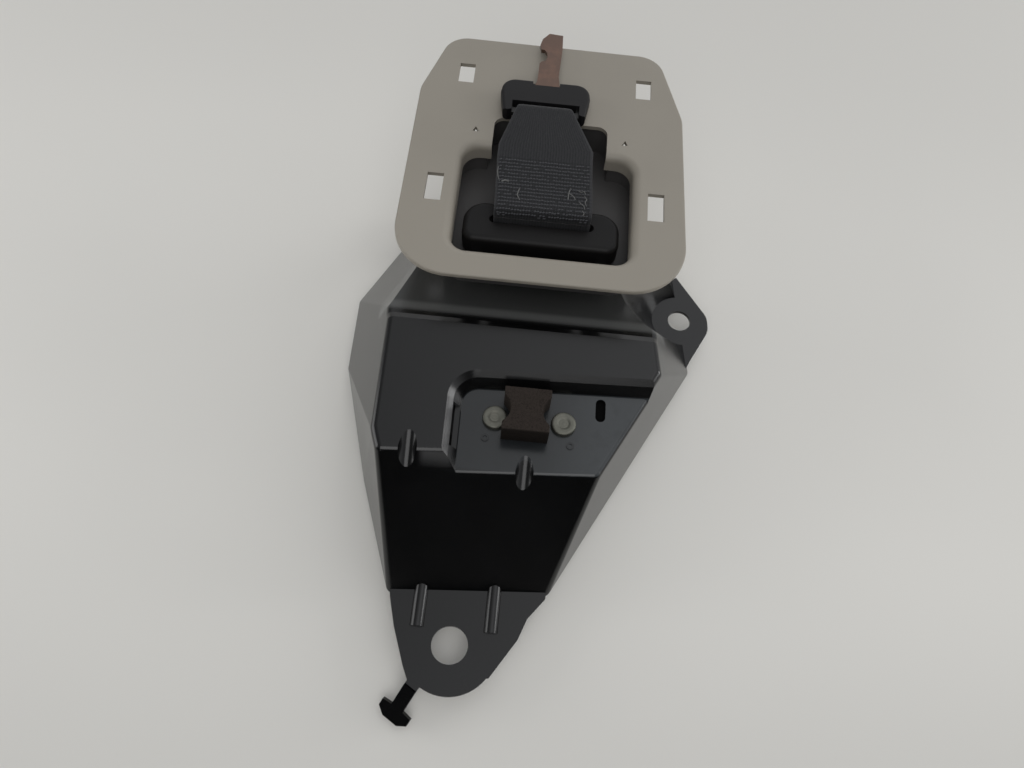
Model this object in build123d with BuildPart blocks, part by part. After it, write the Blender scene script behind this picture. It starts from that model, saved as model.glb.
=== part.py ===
from build123d import *
from math import asin, atan2, cos, degrees, hypot, radians, sin, tan
import os

# Roof-mounted rear centre seat belt: bracket, retractor, trim pocket, latch plate and anchor tongue.
# Millimetres. The origin is the lower anchor hole's centre on the underside of its ear. +Y runs along the
# bracket towards the trim bezel, and +Z points from the roof panel into the cabin.

# Bracket: pressed sheet, and the height of its panel
sheet = 2.0
panel_z = 58.0
bend_radius = 3.5
recess_z = 50.0
recess_draft = 34.0
recess_edge_r = 2.8
recess_lip_z = 55.5
recess_lip_draft = 48.0
recess_corner_r = 8.0
bend_y = 137.5
step_length = 3.5
step_fall = 2.0
step_r = 8.0
lip_y = 180.0
lip_fall = 10.0 / 44.0
lip_half_width = 42.0

# Anchor ears and the locating hook beside the lower one
lower_hole_r = 8.5
side_hole_r = 6.25
lower_ear_r = 22.2
left_ear = (-40.0, 233.0)
left_ear_r = 14.0
ear_hollow_r = 14.1
ear_hollow_draft = 30.5
hook_width = 6.4
hook_head = 15.8
hook_reach = 11.2
hook_drop_angle = 34.0
hook_turn = -31.0
hook_bend = (-15.1, -19.5)

# Pressed stiffening: ribs across the lower fold, grooves across the upper bends
rib_r = 3.4
rib_hollow_r = 1.7
rib_y = (7.0, 31.0)
rib_spots = [-16.2, 18.1]
groove_r = 4.2
groove_angle = 25.0
groove_spots = [(-26.0, 73.2, panel_z), (26.0, 69.4, recess_z)]

# Recess fittings
rivet_spots = [(10.4, 93.9), (41.7, 93.9)]
rivet_shank_r = 3.0
rivet_head_r = 5.7
rivet_head = 2.4
rivet_tail = 1.4
bump_spots = [(6.8, 84.1), (45.4, 84.1)]
window_y = (77.0, 98.0)
window_z = (50.7, 55.3)
floor_slot = (58.4, 103.0)
floor_slot_length = 11.3
floor_slot_width = 4.6
foam_size = 21.2
foam_height = 12.2
foam_spot = (24.4, 94.7)
foam_hollow_r = 8.0
foam_waist = 14.4

# Webbing
belt_x = 23.0
webbing_width = 46.2
webbing_thickness = 1.2
soft_gap = 0.3

# Retractor, measured from the spool's axis and the belt's centre plane
spool_y = 95.5
spool_z = 17.0
roll_r = 24.0
core_r = 9.5
shaft_r = 5.0
flange_r = 24.6
flange = 1.4
flange_play = 0.3
ratchet_thickness = 2.2
ratchet_teeth = 12
ratchet_r = 23.4
ratchet_root_r = 20.2
side_play = 0.4
frame_plate = 2.0
frame_r = 25.0
frame_back = 23.5
frame_base_back = 19.5
slot_tab = 10.0
running_gap = 0.05
bush_r = 8.0
bush_flange_r = 10.0
pin_r = 1.2
lock_pivot = (-25.0, 13.0)
lock_bar_r = 3.0
lock_clear = 0.8
lock_nose = 3.0
tie_spot = (28.0, -7.0)
tie_r = 3.0

# Covers on the retractor's two sides
cover_wall = 1.6
cover_room = 1.4
case_r = 19.4
case_depth = 6.8
lid = 1.2
cover_screw_r = 1.5
screw_lobe_r = 3.2
case_screw_gap = 1.6
case_screw_angles = [20.0, 120.0, 250.0]
spring_strip = 0.5
spring_turns = 6
spring_inner_r = 8.0
arbor_r = 6.8
gear_r = 13.0
gear_teeth = 18
gear_thickness = 3.0
sensor_depth = 14.0
ball_r = 4.6
sensor_wall = 1.6
lever_pin_r = 0.9

# Trim pocket
trim_x = 23.4
bezel_top_z = 80.0
bezel_plate = 2.2
bezel_wall = 1.8
bezel_depth = 9.0
bezel_draft = 3.0
bezel_roll = 4.0
bezel_outline = [(-45.4, 149.6, 27.0), (91.9, 149.6, 27.0), (89.9, 256.0, 18.0), (77.0, 299.0, 14.0),
                 (-33.5, 300.0, 13.0), (-45.2, 262.0, 18.0)]
pocket_half_width = 42.5
pocket_low_y = 164.7
pocket_low_r = 8.0
pocket_shoulder_r = 9.0
shoulder_y = 227.0
notch_half_width = 28.5
notch_y = 246.0
liner_wall = 1.8
nest_gap = 0.3
pocket_floor_z = 60.0
liner_floor = 2.0
liner_foot = 10.0
liner_foot_spread = 31.0
liner_foot_y = 173.0
liner_screw_r = 1.9
liner_screw_head_r = 3.4
liner_screw_head = 1.5

# Webbing guide on the bracket's lip
guide_nose_r = 3.2
clip_gap = 0.6

# Latch plate
latch_z = (62.2, 75.6)
latch_steel = 2.5
latch_half_width = 37.5
latch_y = (173.5, 196.3)
blade_half_width = 12.0
blade_tip_y = 232.0

# Small tongue and the webbing's sewn end
tongue_x = 19.0
loop_y = 246.5
loop_z = 84.5
loop_clear_r = 2.6
loop_half_width = 12.6
tongue_steel = 2.2
tongue_head = 7.2

os.makedirs("parts", exist_ok=True)

# Places that follow from the sizes above
roll_half = webbing_width / 2
flange_in = roll_half + flange_play
flange_out = flange_in + flange
ratchet_out = flange_out + ratchet_thickness
frame_in = ratchet_out + side_play
frame_out = frame_in + frame_plate
frame_top_z = recess_z - sheet
side_x = belt_x + frame_out + case_depth + lid + cover_room
case_screw_radius = case_r + case_screw_gap
axis_place = (spool_y, spool_z)


def save(piece, label):
    """Label one finished piece and write its file."""
    piece.label = label
    export_step(piece, f"parts/{label}.step")


def across(x):
    """Plane square to the spool's axis, at a distance x from the belt's centre plane."""
    return Plane.YZ.offset(belt_x + x)


def from_spool(radius, angle):
    """Point in an across plane, from the spool's axis."""
    return (spool_y + radius * cos(radians(angle)), spool_z + radius * sin(radians(angle)))


# Tray of the bracket: the plan of its rim, and how far each wall leans in between its foot and the panel
rim = [(-31, 10), (side_x - 22.2, 10), (side_x - 22.2, 20), (side_x + 49.4, 153.2), (side_x + 41.2, 213),
       (79, 223), (-50, 223), (-72.4, 178), (-71.3, 136), (-52.5, 75), (-31, 18)]
slope_foot = ((0.5, 23.4), (63.5, 28.0))
slope_lean = 50.8
walls = [
    (*slope_foot, slope_lean),
    ((side_x - 22.2, 20), (side_x + 49.4, 153.2), 8.0),
    ((side_x + 49.4, 153.2), (side_x + 41.2, 213), 31.0),
    ((-50, 223), (-72.4, 178), 41.0),
    ((-72.4, 178), (-71.3, 136), 27.0),
    ((-71.3, 136), (-52.5, 75), 10.5),
    ((-52.5, 75), (-31, 18), 10.5),
]
right_ear = (side_x + 44.2, 185.0)


def wall_plane(foot_start, foot_end, lean):
    """Outer face of a wall that leans in about its foot, its normal pointing out."""
    run = Vector(foot_end[0] - foot_start[0], foot_end[1] - foot_start[1], 0)
    rise = Vector(-run.Y, run.X, 0).normalized() * lean + Vector(0, 0, panel_z)
    return Plane(origin=Vector(*foot_start, 0), x_dir=run, z_dir=run.cross(rise))


upper_face = Plane(origin=(0, bend_y + step_length, panel_z - step_fall), x_dir=(1, 0, 0),
                   z_dir=(0, lip_fall, 1))


def upper_face_z(y):
    """Height of the upper face's outer skin."""
    return panel_z - step_fall - (y - bend_y - step_length) * lip_fall


def groove_plane(x, y, z):
    """Plane at the middle of a pressed groove, its normal along the groove."""
    return Plane(origin=(x, y, z + 0.9), x_dir=(1, 0, 0), z_dir=(0, 1, tan(radians(groove_angle))))


def tray_block(inset):
    """Solid form below the tray's outer skin, or below its inner skin when inset by the sheet."""
    recess_spread = (recess_lip_z - recess_z) * tan(radians(recess_draft))
    with BuildPart() as block:
        with BuildSketch():
            Polygon(*rim, align=None)
        extrude(amount=panel_z)
        with BuildSketch(Plane.YZ.offset(-100)) as profile:
            Polygon((-20, -20), (-20, panel_z), (bend_y, panel_z), (bend_y + step_length, panel_z - step_fall),
                    (260, upper_face_z(260)), (260, -20), align=None)
            bends = profile.vertices().filter_by(lambda v: bend_y - 1 < v.Y < bend_y + 5)
            fillet(bends, radius=step_r)
            offset(amount=-inset)
        extrude(amount=300, mode=Mode.INTERSECT)
        for foot_start, foot_end, lean in walls:
            split(bisect_by=wall_plane(foot_start, foot_end, lean).offset(-inset), keep=Keep.BOTTOM)
        creases = block.edges().filter_by(lambda e: e.center().Z > 3 and e.bounding_box().max.Y < 222)
        creases = creases.filter_by(Axis.X, reverse=True)
        fillet(creases, radius=bend_radius - inset)
        for foot_z, draft, spread in ((recess_z, recess_draft, 0),
                                      (recess_lip_z, recess_lip_draft, recess_spread)):
            with BuildSketch(Plane.XY.offset(foot_z - inset)):
                with BuildLine():
                    Polyline((-4, 40), (-5.5, 107.3), (100, 112), (100, 40), close=True)
                make_face()
                fillet(vertices().sort_by_distance((-5.5, 107.3))[0], radius=recess_corner_r)
                offset(amount=spread + inset * (1 - sin(radians(draft))) / cos(radians(draft)))
            extrude(amount=panel_z - foot_z + 2 * inset + 2, taper=-draft, mode=Mode.SUBTRACT)
        floor_edges = block.edges().filter_by(lambda e: abs(e.center().Z - recess_z + inset) < 0.05)
        fillet(floor_edges.filter_by(lambda e: e.center().X > 10 and e.center().Y < 98),
               radius=recess_edge_r - inset)
        for x, y, z in groove_spots:
            with Locations(groove_plane(x, y, z)):
                Cylinder(groove_r + inset, 60, mode=Mode.SUBTRACT)
        hollow_r = ear_hollow_r + inset / cos(radians(ear_hollow_draft))
        with Locations((*right_ear, 0)):
            Cone(hollow_r, hollow_r + panel_z * tan(radians(ear_hollow_draft)), panel_z,
                 align=(Align.CENTER, Align.CENTER, Align.MIN), mode=Mode.SUBTRACT)
    return block.part


hook_across = Vector(cos(radians(hook_turn)), sin(radians(hook_turn)), 0)
hook_run = Vector(sin(radians(hook_turn)), -cos(radians(hook_turn)), 0)
hook_down = hook_run * cos(radians(hook_drop_angle)) + Vector(0, 0, -sin(radians(hook_drop_angle)))
hook_under = hook_across.cross(hook_down)
hook_plane = Plane(origin=Vector(*hook_bend, 0) - hook_under * (sheet / 2), x_dir=hook_across,
                   z_dir=hook_under)
hook_start = -sheet * tan(radians(hook_drop_angle / 2))

with BuildPart() as bracket:
    add(tray_block(0))
    add(tray_block(sheet), mode=Mode.SUBTRACT)
    with BuildSketch() as ears:
        with BuildLine():
            Polyline((-31, 22.6), (-30.4, 19), (-26.6, 6), (-19.9, -11), (-16.5, -18))
            Polyline((-16.5, -18), (19.2, -12.6), (30.8, 5.2), (34.6, 15.2), (42.3, 25), (42.3, 28),
                     (-31, 22.6))
        make_face()
        Circle(lower_ear_r)
        with Locations(Location((*hook_bend, 0), hook_turn)):
            Rectangle(hook_width, 8, align=(Align.CENTER, Align.MIN))
        with BuildLine():
            Polyline((108, 151), (111.8, 160), (122.3, 180), (121.6, 189), (104.5, 213.5), (90, 206),
                     (86, 182), (101, 162), close=True)
        make_face()
        fillet(ears.vertices().sort_by_distance((122.3, 180))[0], radius=12)
        fillet(ears.vertices().sort_by_distance((121.6, 189))[0], radius=9)
        fillet(ears.vertices().sort_by_distance((111.8, 160))[0], radius=6)
    extrude(amount=sheet)
    with BuildSketch():
        with Locations(left_ear):
            Circle(left_ear_r)
        with Locations((-44, 222), (-26, 221)):
            Circle(2)
        make_hull()
    extrude(amount=sheet)
    with BuildSketch(hook_plane):
        with BuildLine():
            Polyline((-hook_width / 2, hook_start), (-hook_width / 2, hook_reach), (-hook_head / 2, hook_reach + 0.6),
                     (-hook_head / 2, hook_reach + 4.2), (-hook_head / 4, hook_reach + 7.2),
                     (hook_head / 4, hook_reach + 7.2), (hook_head / 2, hook_reach + 4.2),
                     (hook_head / 2, hook_reach + 0.6), (hook_width / 2, hook_reach), (hook_width / 2, hook_start),
                     close=True)
        make_face()
    extrude(amount=sheet / 2, both=True)
    with BuildSketch(Plane.XZ.offset(-rib_y[0])):
        with Locations(*[(x, sheet / 2) for x in rib_spots]):
            Circle(rib_r, arc_size=180, align=(Align.CENTER, Align.MIN))
    extrude(amount=rib_y[0] - rib_y[1])
    with BuildSketch(Plane.XZ.offset(-rib_y[0] - 2)):
        with Locations(*[(x, 0) for x in rib_spots]):
            Circle(rib_hollow_r)
    extrude(amount=rib_y[0] - rib_y[1] + 4, mode=Mode.SUBTRACT)
    with BuildSketch():
        with Locations((belt_x, lip_y + 40)):
            Rectangle(2 * lip_half_width, 80)
    extrude(amount=panel_z, mode=Mode.SUBTRACT)
    with BuildSketch(Plane.XY.offset(window_z[0])):
        with Locations((-10, sum(window_y) / 2)):
            Rectangle(14, window_y[1] - window_y[0])
    extrude(amount=window_z[1] - window_z[0], mode=Mode.SUBTRACT)
    with BuildSketch(Plane.XY.offset(recess_z - sheet)):
        with Locations(floor_slot):
            SlotOverall(floor_slot_length, floor_slot_width, rotation=90)
        with Locations(*rivet_spots):
            Circle(rivet_shank_r)
    extrude(amount=sheet, mode=Mode.SUBTRACT)
    with BuildSketch(Plane.XY.offset(recess_z)):
        with Locations(*bump_spots):
            Circle(1.8)
            Circle(0.9, mode=Mode.SUBTRACT)
    extrude(amount=0.5)
    with BuildSketch():
        Circle(lower_hole_r)
        with Locations(right_ear, left_ear):
            Circle(side_hole_r)
    extrude(amount=sheet, mode=Mode.SUBTRACT)
    with BuildSketch():
        with Locations((belt_x, liner_foot_y)):
            with GridLocations(2 * liner_foot_spread, 0, 2, 1):
                Circle(liner_screw_r)
    extrude(amount=panel_z, mode=Mode.SUBTRACT)
save(bracket.part, "bracket")

with BuildPart() as rivets:
    with Locations(*[(x, y, recess_z) for x, y in rivet_spots]):
        with Locations((0, 0, -2 * sheet - rivet_tail)):
            Cylinder(rivet_shank_r, 2 * sheet + rivet_tail, align=(Align.CENTER, Align.CENTER, Align.MIN))
            Cylinder(rivet_shank_r + 1.6, rivet_tail, align=(Align.CENTER, Align.CENTER, Align.MIN))
        Cylinder(rivet_head_r, rivet_head, align=(Align.CENTER, Align.CENTER, Align.MIN))
    fillet(rivets.faces().group_by(Axis.Z)[-1].edges(), radius=1.1)
    with Locations(*[(x, y, recess_z + rivet_head) for x, y in rivet_spots]):
        Cone(2.2, 3.4, 0.4, align=(Align.CENTER, Align.CENTER, Align.MAX), mode=Mode.SUBTRACT)
save(rivets.part, "rivets")

with BuildPart() as foam_block:
    with BuildSketch(Plane.XY.offset(recess_z)):
        with Locations(foam_spot):
            Rectangle(foam_size, foam_size)
            with GridLocations(foam_waist + 2 * foam_hollow_r, 0, 2, 1):
                Circle(foam_hollow_r, mode=Mode.SUBTRACT)
    extrude(amount=foam_height)
save(foam_block.part, "foam_block")

# Trim pocket: its opening's outline, which the bezel's wall, the liner and their gaps all follow
with BuildSketch() as pocket:
    with Locations((trim_x, (pocket_low_y + shoulder_y) / 2)):
        Rectangle(2 * pocket_half_width, shoulder_y - pocket_low_y)
    with Locations((trim_x, (shoulder_y + notch_y) / 2 - 5)):
        Rectangle(2 * notch_half_width, notch_y - shoulder_y + 10)
    fillet(pocket.vertices().group_by(Axis.Y)[0], radius=pocket_low_r)
    fillet(pocket.vertices().group_by(Axis.Y)[-1], radius=5)
    shoulders = pocket.vertices().filter_by(lambda v: abs(v.Y - shoulder_y) < 0.1)
    fillet(shoulders.filter_by(lambda v: abs(v.X - trim_x) > notch_half_width + 1), radius=pocket_shoulder_r)
    fillet(shoulders.filter_by(lambda v: abs(v.X - trim_x) < notch_half_width + 1), radius=4)

clip_slots = [(46.2, 274.4, 13.0), (53.5, 198.6, 16.2)]
clip_slot_width = 8.0

with BuildPart() as bezel:
    with BuildSketch(Plane.XY.offset(bezel_top_z - bezel_plate)) as face:
        Polygon(*[(x, y) for x, y, radius in bezel_outline], align=None)
        for x, y, radius in bezel_outline:
            fillet(face.vertices().sort_by_distance((x, y))[0], radius=radius)
    extrude(amount=bezel_plate)
    fillet(bezel.faces().sort_by(Axis.Z)[-1].edges(), radius=0.8)
    with BuildSketch(Plane.XY.offset(bezel_top_z - bezel_plate)) as tub:
        with Locations((trim_x, (pocket_low_y + shoulder_y) / 2)):
            Rectangle(2 * pocket_half_width, shoulder_y - pocket_low_y)
        fillet(tub.vertices().group_by(Axis.Y)[0], radius=pocket_low_r)
        fillet(tub.vertices().group_by(Axis.Y)[-1], radius=pocket_shoulder_r)
        offset(amount=bezel_wall)
    extrude(amount=bezel_plate - bezel_depth, taper=bezel_draft)
    with BuildSketch(Plane.XY.offset(bezel_top_z)):
        add(tub.sketch.moved(Location((0, 0, bezel_plate - bezel_top_z))))
        offset(amount=-bezel_wall)
    extrude(amount=-bezel_depth - 1, taper=bezel_draft, mode=Mode.SUBTRACT)
    rolled = bezel.faces().sort_by(Axis.Z)[-1].inner_wires()[0].edges()
    fillet(rolled, radius=bezel_roll)
    with BuildSketch(Plane.XY.offset(bezel_top_z)):
        add(pocket.sketch)
    extrude(amount=-bezel_plate, mode=Mode.SUBTRACT)
    with BuildSketch(Plane.XY.offset(bezel_top_z)):
        with Locations((trim_x, shoulder_y)):
            Rectangle(2 * notch_half_width, 20)
    extrude(amount=-bezel_depth, mode=Mode.SUBTRACT)
    with BuildSketch(Plane.XY.offset(bezel_top_z)):
        for half, y, length in clip_slots:
            with Locations((trim_x, y)):
                with GridLocations(2 * half, 0, 2, 1):
                    Rectangle(clip_slot_width, length)
    extrude(amount=-bezel_plate, mode=Mode.SUBTRACT)
    with BuildSketch(Plane.XY.offset(bezel_top_z)):
        for side in (-1, 1):
            Polygon((trim_x + side * 35.5, 235.2), (trim_x + side * 39, 235.6),
                    (trim_x + side * 37.6, 238.6), align=None)
    extrude(amount=-bezel_plate, mode=Mode.SUBTRACT)
save(bezel.part, "bezel")

guide_y = lip_y + 2.0
guide_z = upper_face_z(lip_y) - sheet / 2 - 0.4
riser_y = guide_y + guide_nose_r + soft_gap + webbing_thickness / 2
liner_gap = bezel_wall + nest_gap

with BuildPart() as pocket_liner:
    with BuildSketch(Plane.XY.offset(pocket_floor_z - liner_floor)):
        add(pocket.sketch)
        offset(amount=liner_gap + liner_wall)
    extrude(amount=bezel_top_z - bezel_plate - pocket_floor_z + liner_floor)
    with BuildSketch(Plane.XY.offset(pocket_floor_z)):
        add(pocket.sketch)
        offset(amount=liner_gap)
    extrude(amount=bezel_top_z - bezel_plate - pocket_floor_z, mode=Mode.SUBTRACT)
    with BuildSketch(Plane.XY.offset(pocket_floor_z)):
        with Locations((belt_x, riser_y)):
            SlotOverall(webbing_width + 6, 5.2)
    extrude(amount=-liner_floor, mode=Mode.SUBTRACT)
    with BuildSketch(Plane.XY.offset(pocket_floor_z - liner_floor)):
        with Locations((belt_x, liner_foot_y)):
            with GridLocations(2 * liner_foot_spread, 0, 2, 1):
                RectangleRounded(liner_foot, liner_foot, 2)
    extrude(amount=-14)
    split(bisect_by=upper_face, keep=Keep.TOP)
    with BuildSketch(Plane.XY.offset(pocket_floor_z)):
        with Locations((belt_x, liner_foot_y)):
            with GridLocations(2 * liner_foot_spread, 0, 2, 1):
                Circle(liner_screw_r)
    extrude(amount=-20, mode=Mode.SUBTRACT)
save(pocket_liner.part, "pocket_liner")

with BuildPart() as liner_screws:
    with BuildSketch(Plane.XY.offset(pocket_floor_z)) as heads:
        with Locations((belt_x, liner_foot_y)):
            with GridLocations(2 * liner_foot_spread, 0, 2, 1):
                Circle(liner_screw_head_r)
    extrude(amount=liner_screw_head)
    fillet(liner_screws.faces().group_by(Axis.Z)[-1].edges(), radius=0.6)
    with BuildSketch(Plane.XY.offset(pocket_floor_z)):
        with Locations((belt_x, liner_foot_y)):
            with GridLocations(2 * liner_foot_spread, 0, 2, 1):
                Circle(liner_screw_r)
    extrude(amount=-15.5)
    with BuildSketch(Plane.XY.offset(pocket_floor_z + liner_screw_head)):
        with Locations((belt_x, liner_foot_y)):
            with GridLocations(2 * liner_foot_spread, 0, 2, 1):
                RegularPolygon(1.6, 6)
    extrude(amount=-1, mode=Mode.SUBTRACT)
save(liner_screws.part, "liner_screws")

lip_angle = degrees(atan2(lip_fall, 1))
lip_mid_z = upper_face_z(lip_y + clip_gap) - sheet / 2 / cos(radians(lip_angle))
with BuildPart() as webbing_guide:
    with BuildSketch(across(-webbing_width / 2 - 2)):
        with Locations((guide_y, guide_z)):
            Circle(guide_nose_r)
        with Locations(Location((guide_y, guide_z), -lip_angle)):
            Rectangle(10.5, 2 * guide_nose_r - 0.3, align=(Align.MAX, Align.CENTER))
        with Locations(Location((lip_y + clip_gap, lip_mid_z), -lip_angle)):
            Rectangle(20, sheet + 2 * clip_gap, align=(Align.MAX, Align.CENTER), mode=Mode.SUBTRACT)
    extrude(amount=webbing_width + 4)
save(webbing_guide.part, "webbing_guide")

# Webbing: its line leaves the top of the roll, passes below the guide's nose and turns up
wind_r = roll_r + soft_gap + webbing_thickness / 2
turn_r = guide_nose_r + soft_gap + webbing_thickness / 2
span = hypot(guide_y - spool_y, guide_z - spool_z)
feed_angle = degrees(atan2(guide_z - spool_z, guide_y - spool_y) - asin((wind_r + turn_r) / span))
half = webbing_thickness / 2


def near_guide(radius, angle):
    """Point in an across plane, from the guide nose's centre."""
    return (guide_y + radius * cos(radians(angle)), guide_z + radius * sin(radians(angle)))


with BuildPart() as webbing_feed:
    with BuildSketch(across(-roll_half)):
        with BuildLine():
            Line(from_spool(wind_r + half, feed_angle + 90), near_guide(turn_r - half, feed_angle - 90))
            CenterArc((guide_y, guide_z), turn_r - half, feed_angle - 90, 90 - feed_angle)
            Line(near_guide(turn_r - half, 0), near_guide(turn_r + half, 0))
            CenterArc((guide_y, guide_z), turn_r + half, feed_angle - 90, 90 - feed_angle)
            Line(near_guide(turn_r + half, feed_angle - 90), from_spool(wind_r - half, feed_angle + 90))
            Line(from_spool(wind_r - half, feed_angle + 90), from_spool(wind_r + half, feed_angle + 90))
        make_face()
    extrude(amount=webbing_width)
save(webbing_feed.part, "webbing_feed")

riser_top_z = latch_z[1] + 1.9
with BuildPart() as webbing_riser:
    with BuildSketch(Plane.XY.offset(guide_z)):
        with Locations((belt_x, riser_y)):
            Rectangle(webbing_width, webbing_thickness)
    extrude(amount=riser_top_z - guide_z)
save(webbing_riser.part, "webbing_riser")

turn_in_r = 3.0
turn_out_r = turn_in_r + webbing_thickness
turn_centre = (riser_y + half + turn_in_r, riser_top_z + 2.2)
loop_r = loop_clear_r + webbing_thickness
seam_y = 222.0
taper_y = 223.5
seam_z = turn_centre[1] + turn_in_r + 0.6 * (loop_z + loop_clear_r - turn_centre[1] - turn_in_r)
with BuildPart() as webbing_end:
    with BuildSketch(across(-roll_half)):
        with BuildLine():
            Polyline((riser_y + half, turn_centre[1]), (riser_y + half, riser_top_z),
                     (riser_y - half, riser_top_z), (riser_y - half, turn_centre[1]))
            CenterArc(turn_centre, turn_out_r, 90, 90)
            Polyline((turn_centre[0], turn_centre[1] + turn_out_r), (loop_y, loop_z + loop_r))
            CenterArc((loop_y, loop_z), loop_r, -90, 180)
            Polyline((loop_y, loop_z - loop_r), (seam_y, seam_z - webbing_thickness),
                     (turn_centre[0] + 2, turn_centre[1] + turn_in_r - webbing_thickness),
                     (turn_centre[0] + 2, turn_centre[1] + turn_in_r),
                     (turn_centre[0], turn_centre[1] + turn_in_r))
            CenterArc(turn_centre, turn_in_r, 90, 90)
        make_face()
    extrude(amount=webbing_width)
    with BuildSketch(across(-roll_half)):
        with BuildLine():
            CenterArc((loop_y, loop_z), loop_clear_r, -90, 180)
            Polyline((loop_y, loop_z + loop_clear_r), (seam_y + 2, seam_z), (loop_y, loop_z - loop_clear_r))
        make_face()
    extrude(amount=webbing_width, mode=Mode.SUBTRACT)
    with BuildSketch(Plane.XY.offset(pocket_floor_z)):
        Polygon((belt_x - roll_half, riser_y - 5), (belt_x + roll_half, riser_y - 5),
                (belt_x + roll_half, taper_y), (tongue_x + loop_half_width, loop_y + 4),
                (tongue_x + loop_half_width, loop_y + 6), (tongue_x - loop_half_width, loop_y + 6),
                (tongue_x - loop_half_width, loop_y + 4), (belt_x - roll_half, taper_y), align=None)
    extrude(amount=60, mode=Mode.INTERSECT)
save(webbing_end.part, "webbing_end")

# Latch plate: steel plate and blade, moulded into its head
latch_mid_z = sum(latch_z) / 2
with BuildPart() as latch_plate:
    with BuildSketch(Plane.XY.offset(latch_mid_z - latch_steel / 2)) as plate:
        with Locations((belt_x, riser_y - 0.6)):
            Rectangle(2 * latch_half_width - 9, 15)
        with Locations((belt_x, riser_y)):
            Rectangle(2 * blade_half_width, blade_tip_y - riser_y, align=(Align.CENTER, Align.MIN))
        fillet(plate.vertices().group_by(Axis.Y)[-1], radius=6)
        with Locations((belt_x, riser_y)):
            SlotOverall(webbing_width + 5, 5.6, mode=Mode.SUBTRACT)
        with Locations((belt_x, blade_tip_y - 13)):
            RectangleRounded(12, 9, 1.5, mode=Mode.SUBTRACT)
    extrude(amount=latch_steel)
    fillet(latch_plate.edges().filter_by(Axis.Z).group_by(Axis.Y)[0], radius=3)
save(latch_plate.part, "latch_plate")

with BuildPart() as latch_head:
    with BuildSketch(Plane.XY.offset(latch_z[0])) as plan:
        with Locations((belt_x, sum(latch_y) / 2)):
            Rectangle(2 * latch_half_width, latch_y[1] - latch_y[0])
        fillet(plan.vertices().group_by(Axis.Y)[0], radius=6)
        fillet(plan.vertices().group_by(Axis.Y)[-1], radius=10.5)
    extrude(amount=latch_z[1] - latch_z[0])
    fillet(latch_head.faces().sort_by(Axis.Z)[-1].edges(), radius=3)
    fillet(latch_head.faces().sort_by(Axis.Z)[0].edges(), radius=2)
    with BuildSketch(Plane.XY.offset(latch_z[0])):
        with Locations((belt_x, riser_y)):
            SlotOverall(webbing_width + 4, 4.4)
    extrude(amount=latch_z[1] - latch_z[0], mode=Mode.SUBTRACT)
    add(latch_plate.part, mode=Mode.SUBTRACT)
save(latch_head.part, "latch_head")

lip_start = loop_y + loop_r + soft_gap
head_wide_y = loop_y + 10.0
head_end_y = loop_y + 19.0

# Small tongue: hook blade with a ring round the webbing's loop, and its moulded head
with BuildPart() as small_tongue_blade:
    with BuildSketch(Plane.XY.offset(loop_z - tongue_steel / 2)) as outline:
        with BuildLine():
            Polyline((13.2, 256), (13.2, 264.5), (14.1, 268), (14.4, 280), (15.2, 281.6), (17.3, 282.4),
                     (18.1, 285.2), (17.8, 288), (16.4, 290.1), (14.6, 290.3), (13.8, 293.4), (14.8, 298),
                     (18.2, 302.4), (25.3, 301.8), (25.6, 291.4), (24.8, 272), (25.8, 264.5), (25.8, 256),
                     close=True)
        make_face()
        with Locations((tongue_x, loop_y - 1.7)):
            Rectangle(37, 15.5, align=(Align.CENTER, Align.MIN))
        fillet(outline.vertices().group_by(Axis.Y)[0], radius=1.5)
        with Locations((tongue_x, loop_y + 1.7)):
            Rectangle(31.6, 4.9, align=(Align.CENTER, Align.MIN), mode=Mode.SUBTRACT)
    extrude(amount=tongue_steel)
save(small_tongue_blade.part, "small_tongue_blade")

with BuildPart() as small_tongue_head:
    with BuildSketch(Plane.XY.offset(loop_z - tongue_head / 2)) as outline:
        Polygon((tongue_x - 20.6, loop_y - 1.8), (tongue_x - 18.4, loop_y - 2.4), (tongue_x - 16.2, loop_y - 1.8),
                (tongue_x - 16.2, lip_start), (tongue_x + 17.4, lip_start), (tongue_x + 17.4, loop_y - 1.8),
                (tongue_x + 19.0, loop_y - 2.4), (tongue_x + 20.6, loop_y - 1.8), (tongue_x + 22.6, head_wide_y),
                (tongue_x + 21.4, head_end_y), (tongue_x - 21.4, head_end_y), (tongue_x - 22.6, head_wide_y),
                align=None)
        fillet(outline.vertices().filter_by(lambda v: abs(v.Y - head_end_y) < 0.1), radius=7)
        fillet(outline.vertices().filter_by(lambda v: abs(v.Y - head_wide_y) < 0.1), radius=9)
    extrude(amount=tongue_head)
    for flat in (small_tongue_head.faces().sort_by(Axis.Z)[-1], small_tongue_head.faces().sort_by(Axis.Z)[0]):
        fillet(flat.edges().filter_by(lambda e: hypot(e.center().X - tongue_x, e.center().Y - loop_y) > 17.5
                                      and e.center().Y > loop_y), radius=1.7)
    add(small_tongue_blade.part, mode=Mode.SUBTRACT)
    with BuildSketch(Plane.XY.offset(loop_z + tongue_steel / 2)):
        with Locations((tongue_x, head_end_y)):
            Rectangle(13.6, 3.4, align=(Align.CENTER, Align.MAX))
    extrude(amount=tongue_head, mode=Mode.SUBTRACT)
save(small_tongue_head.part, "small_tongue_head")

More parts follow.
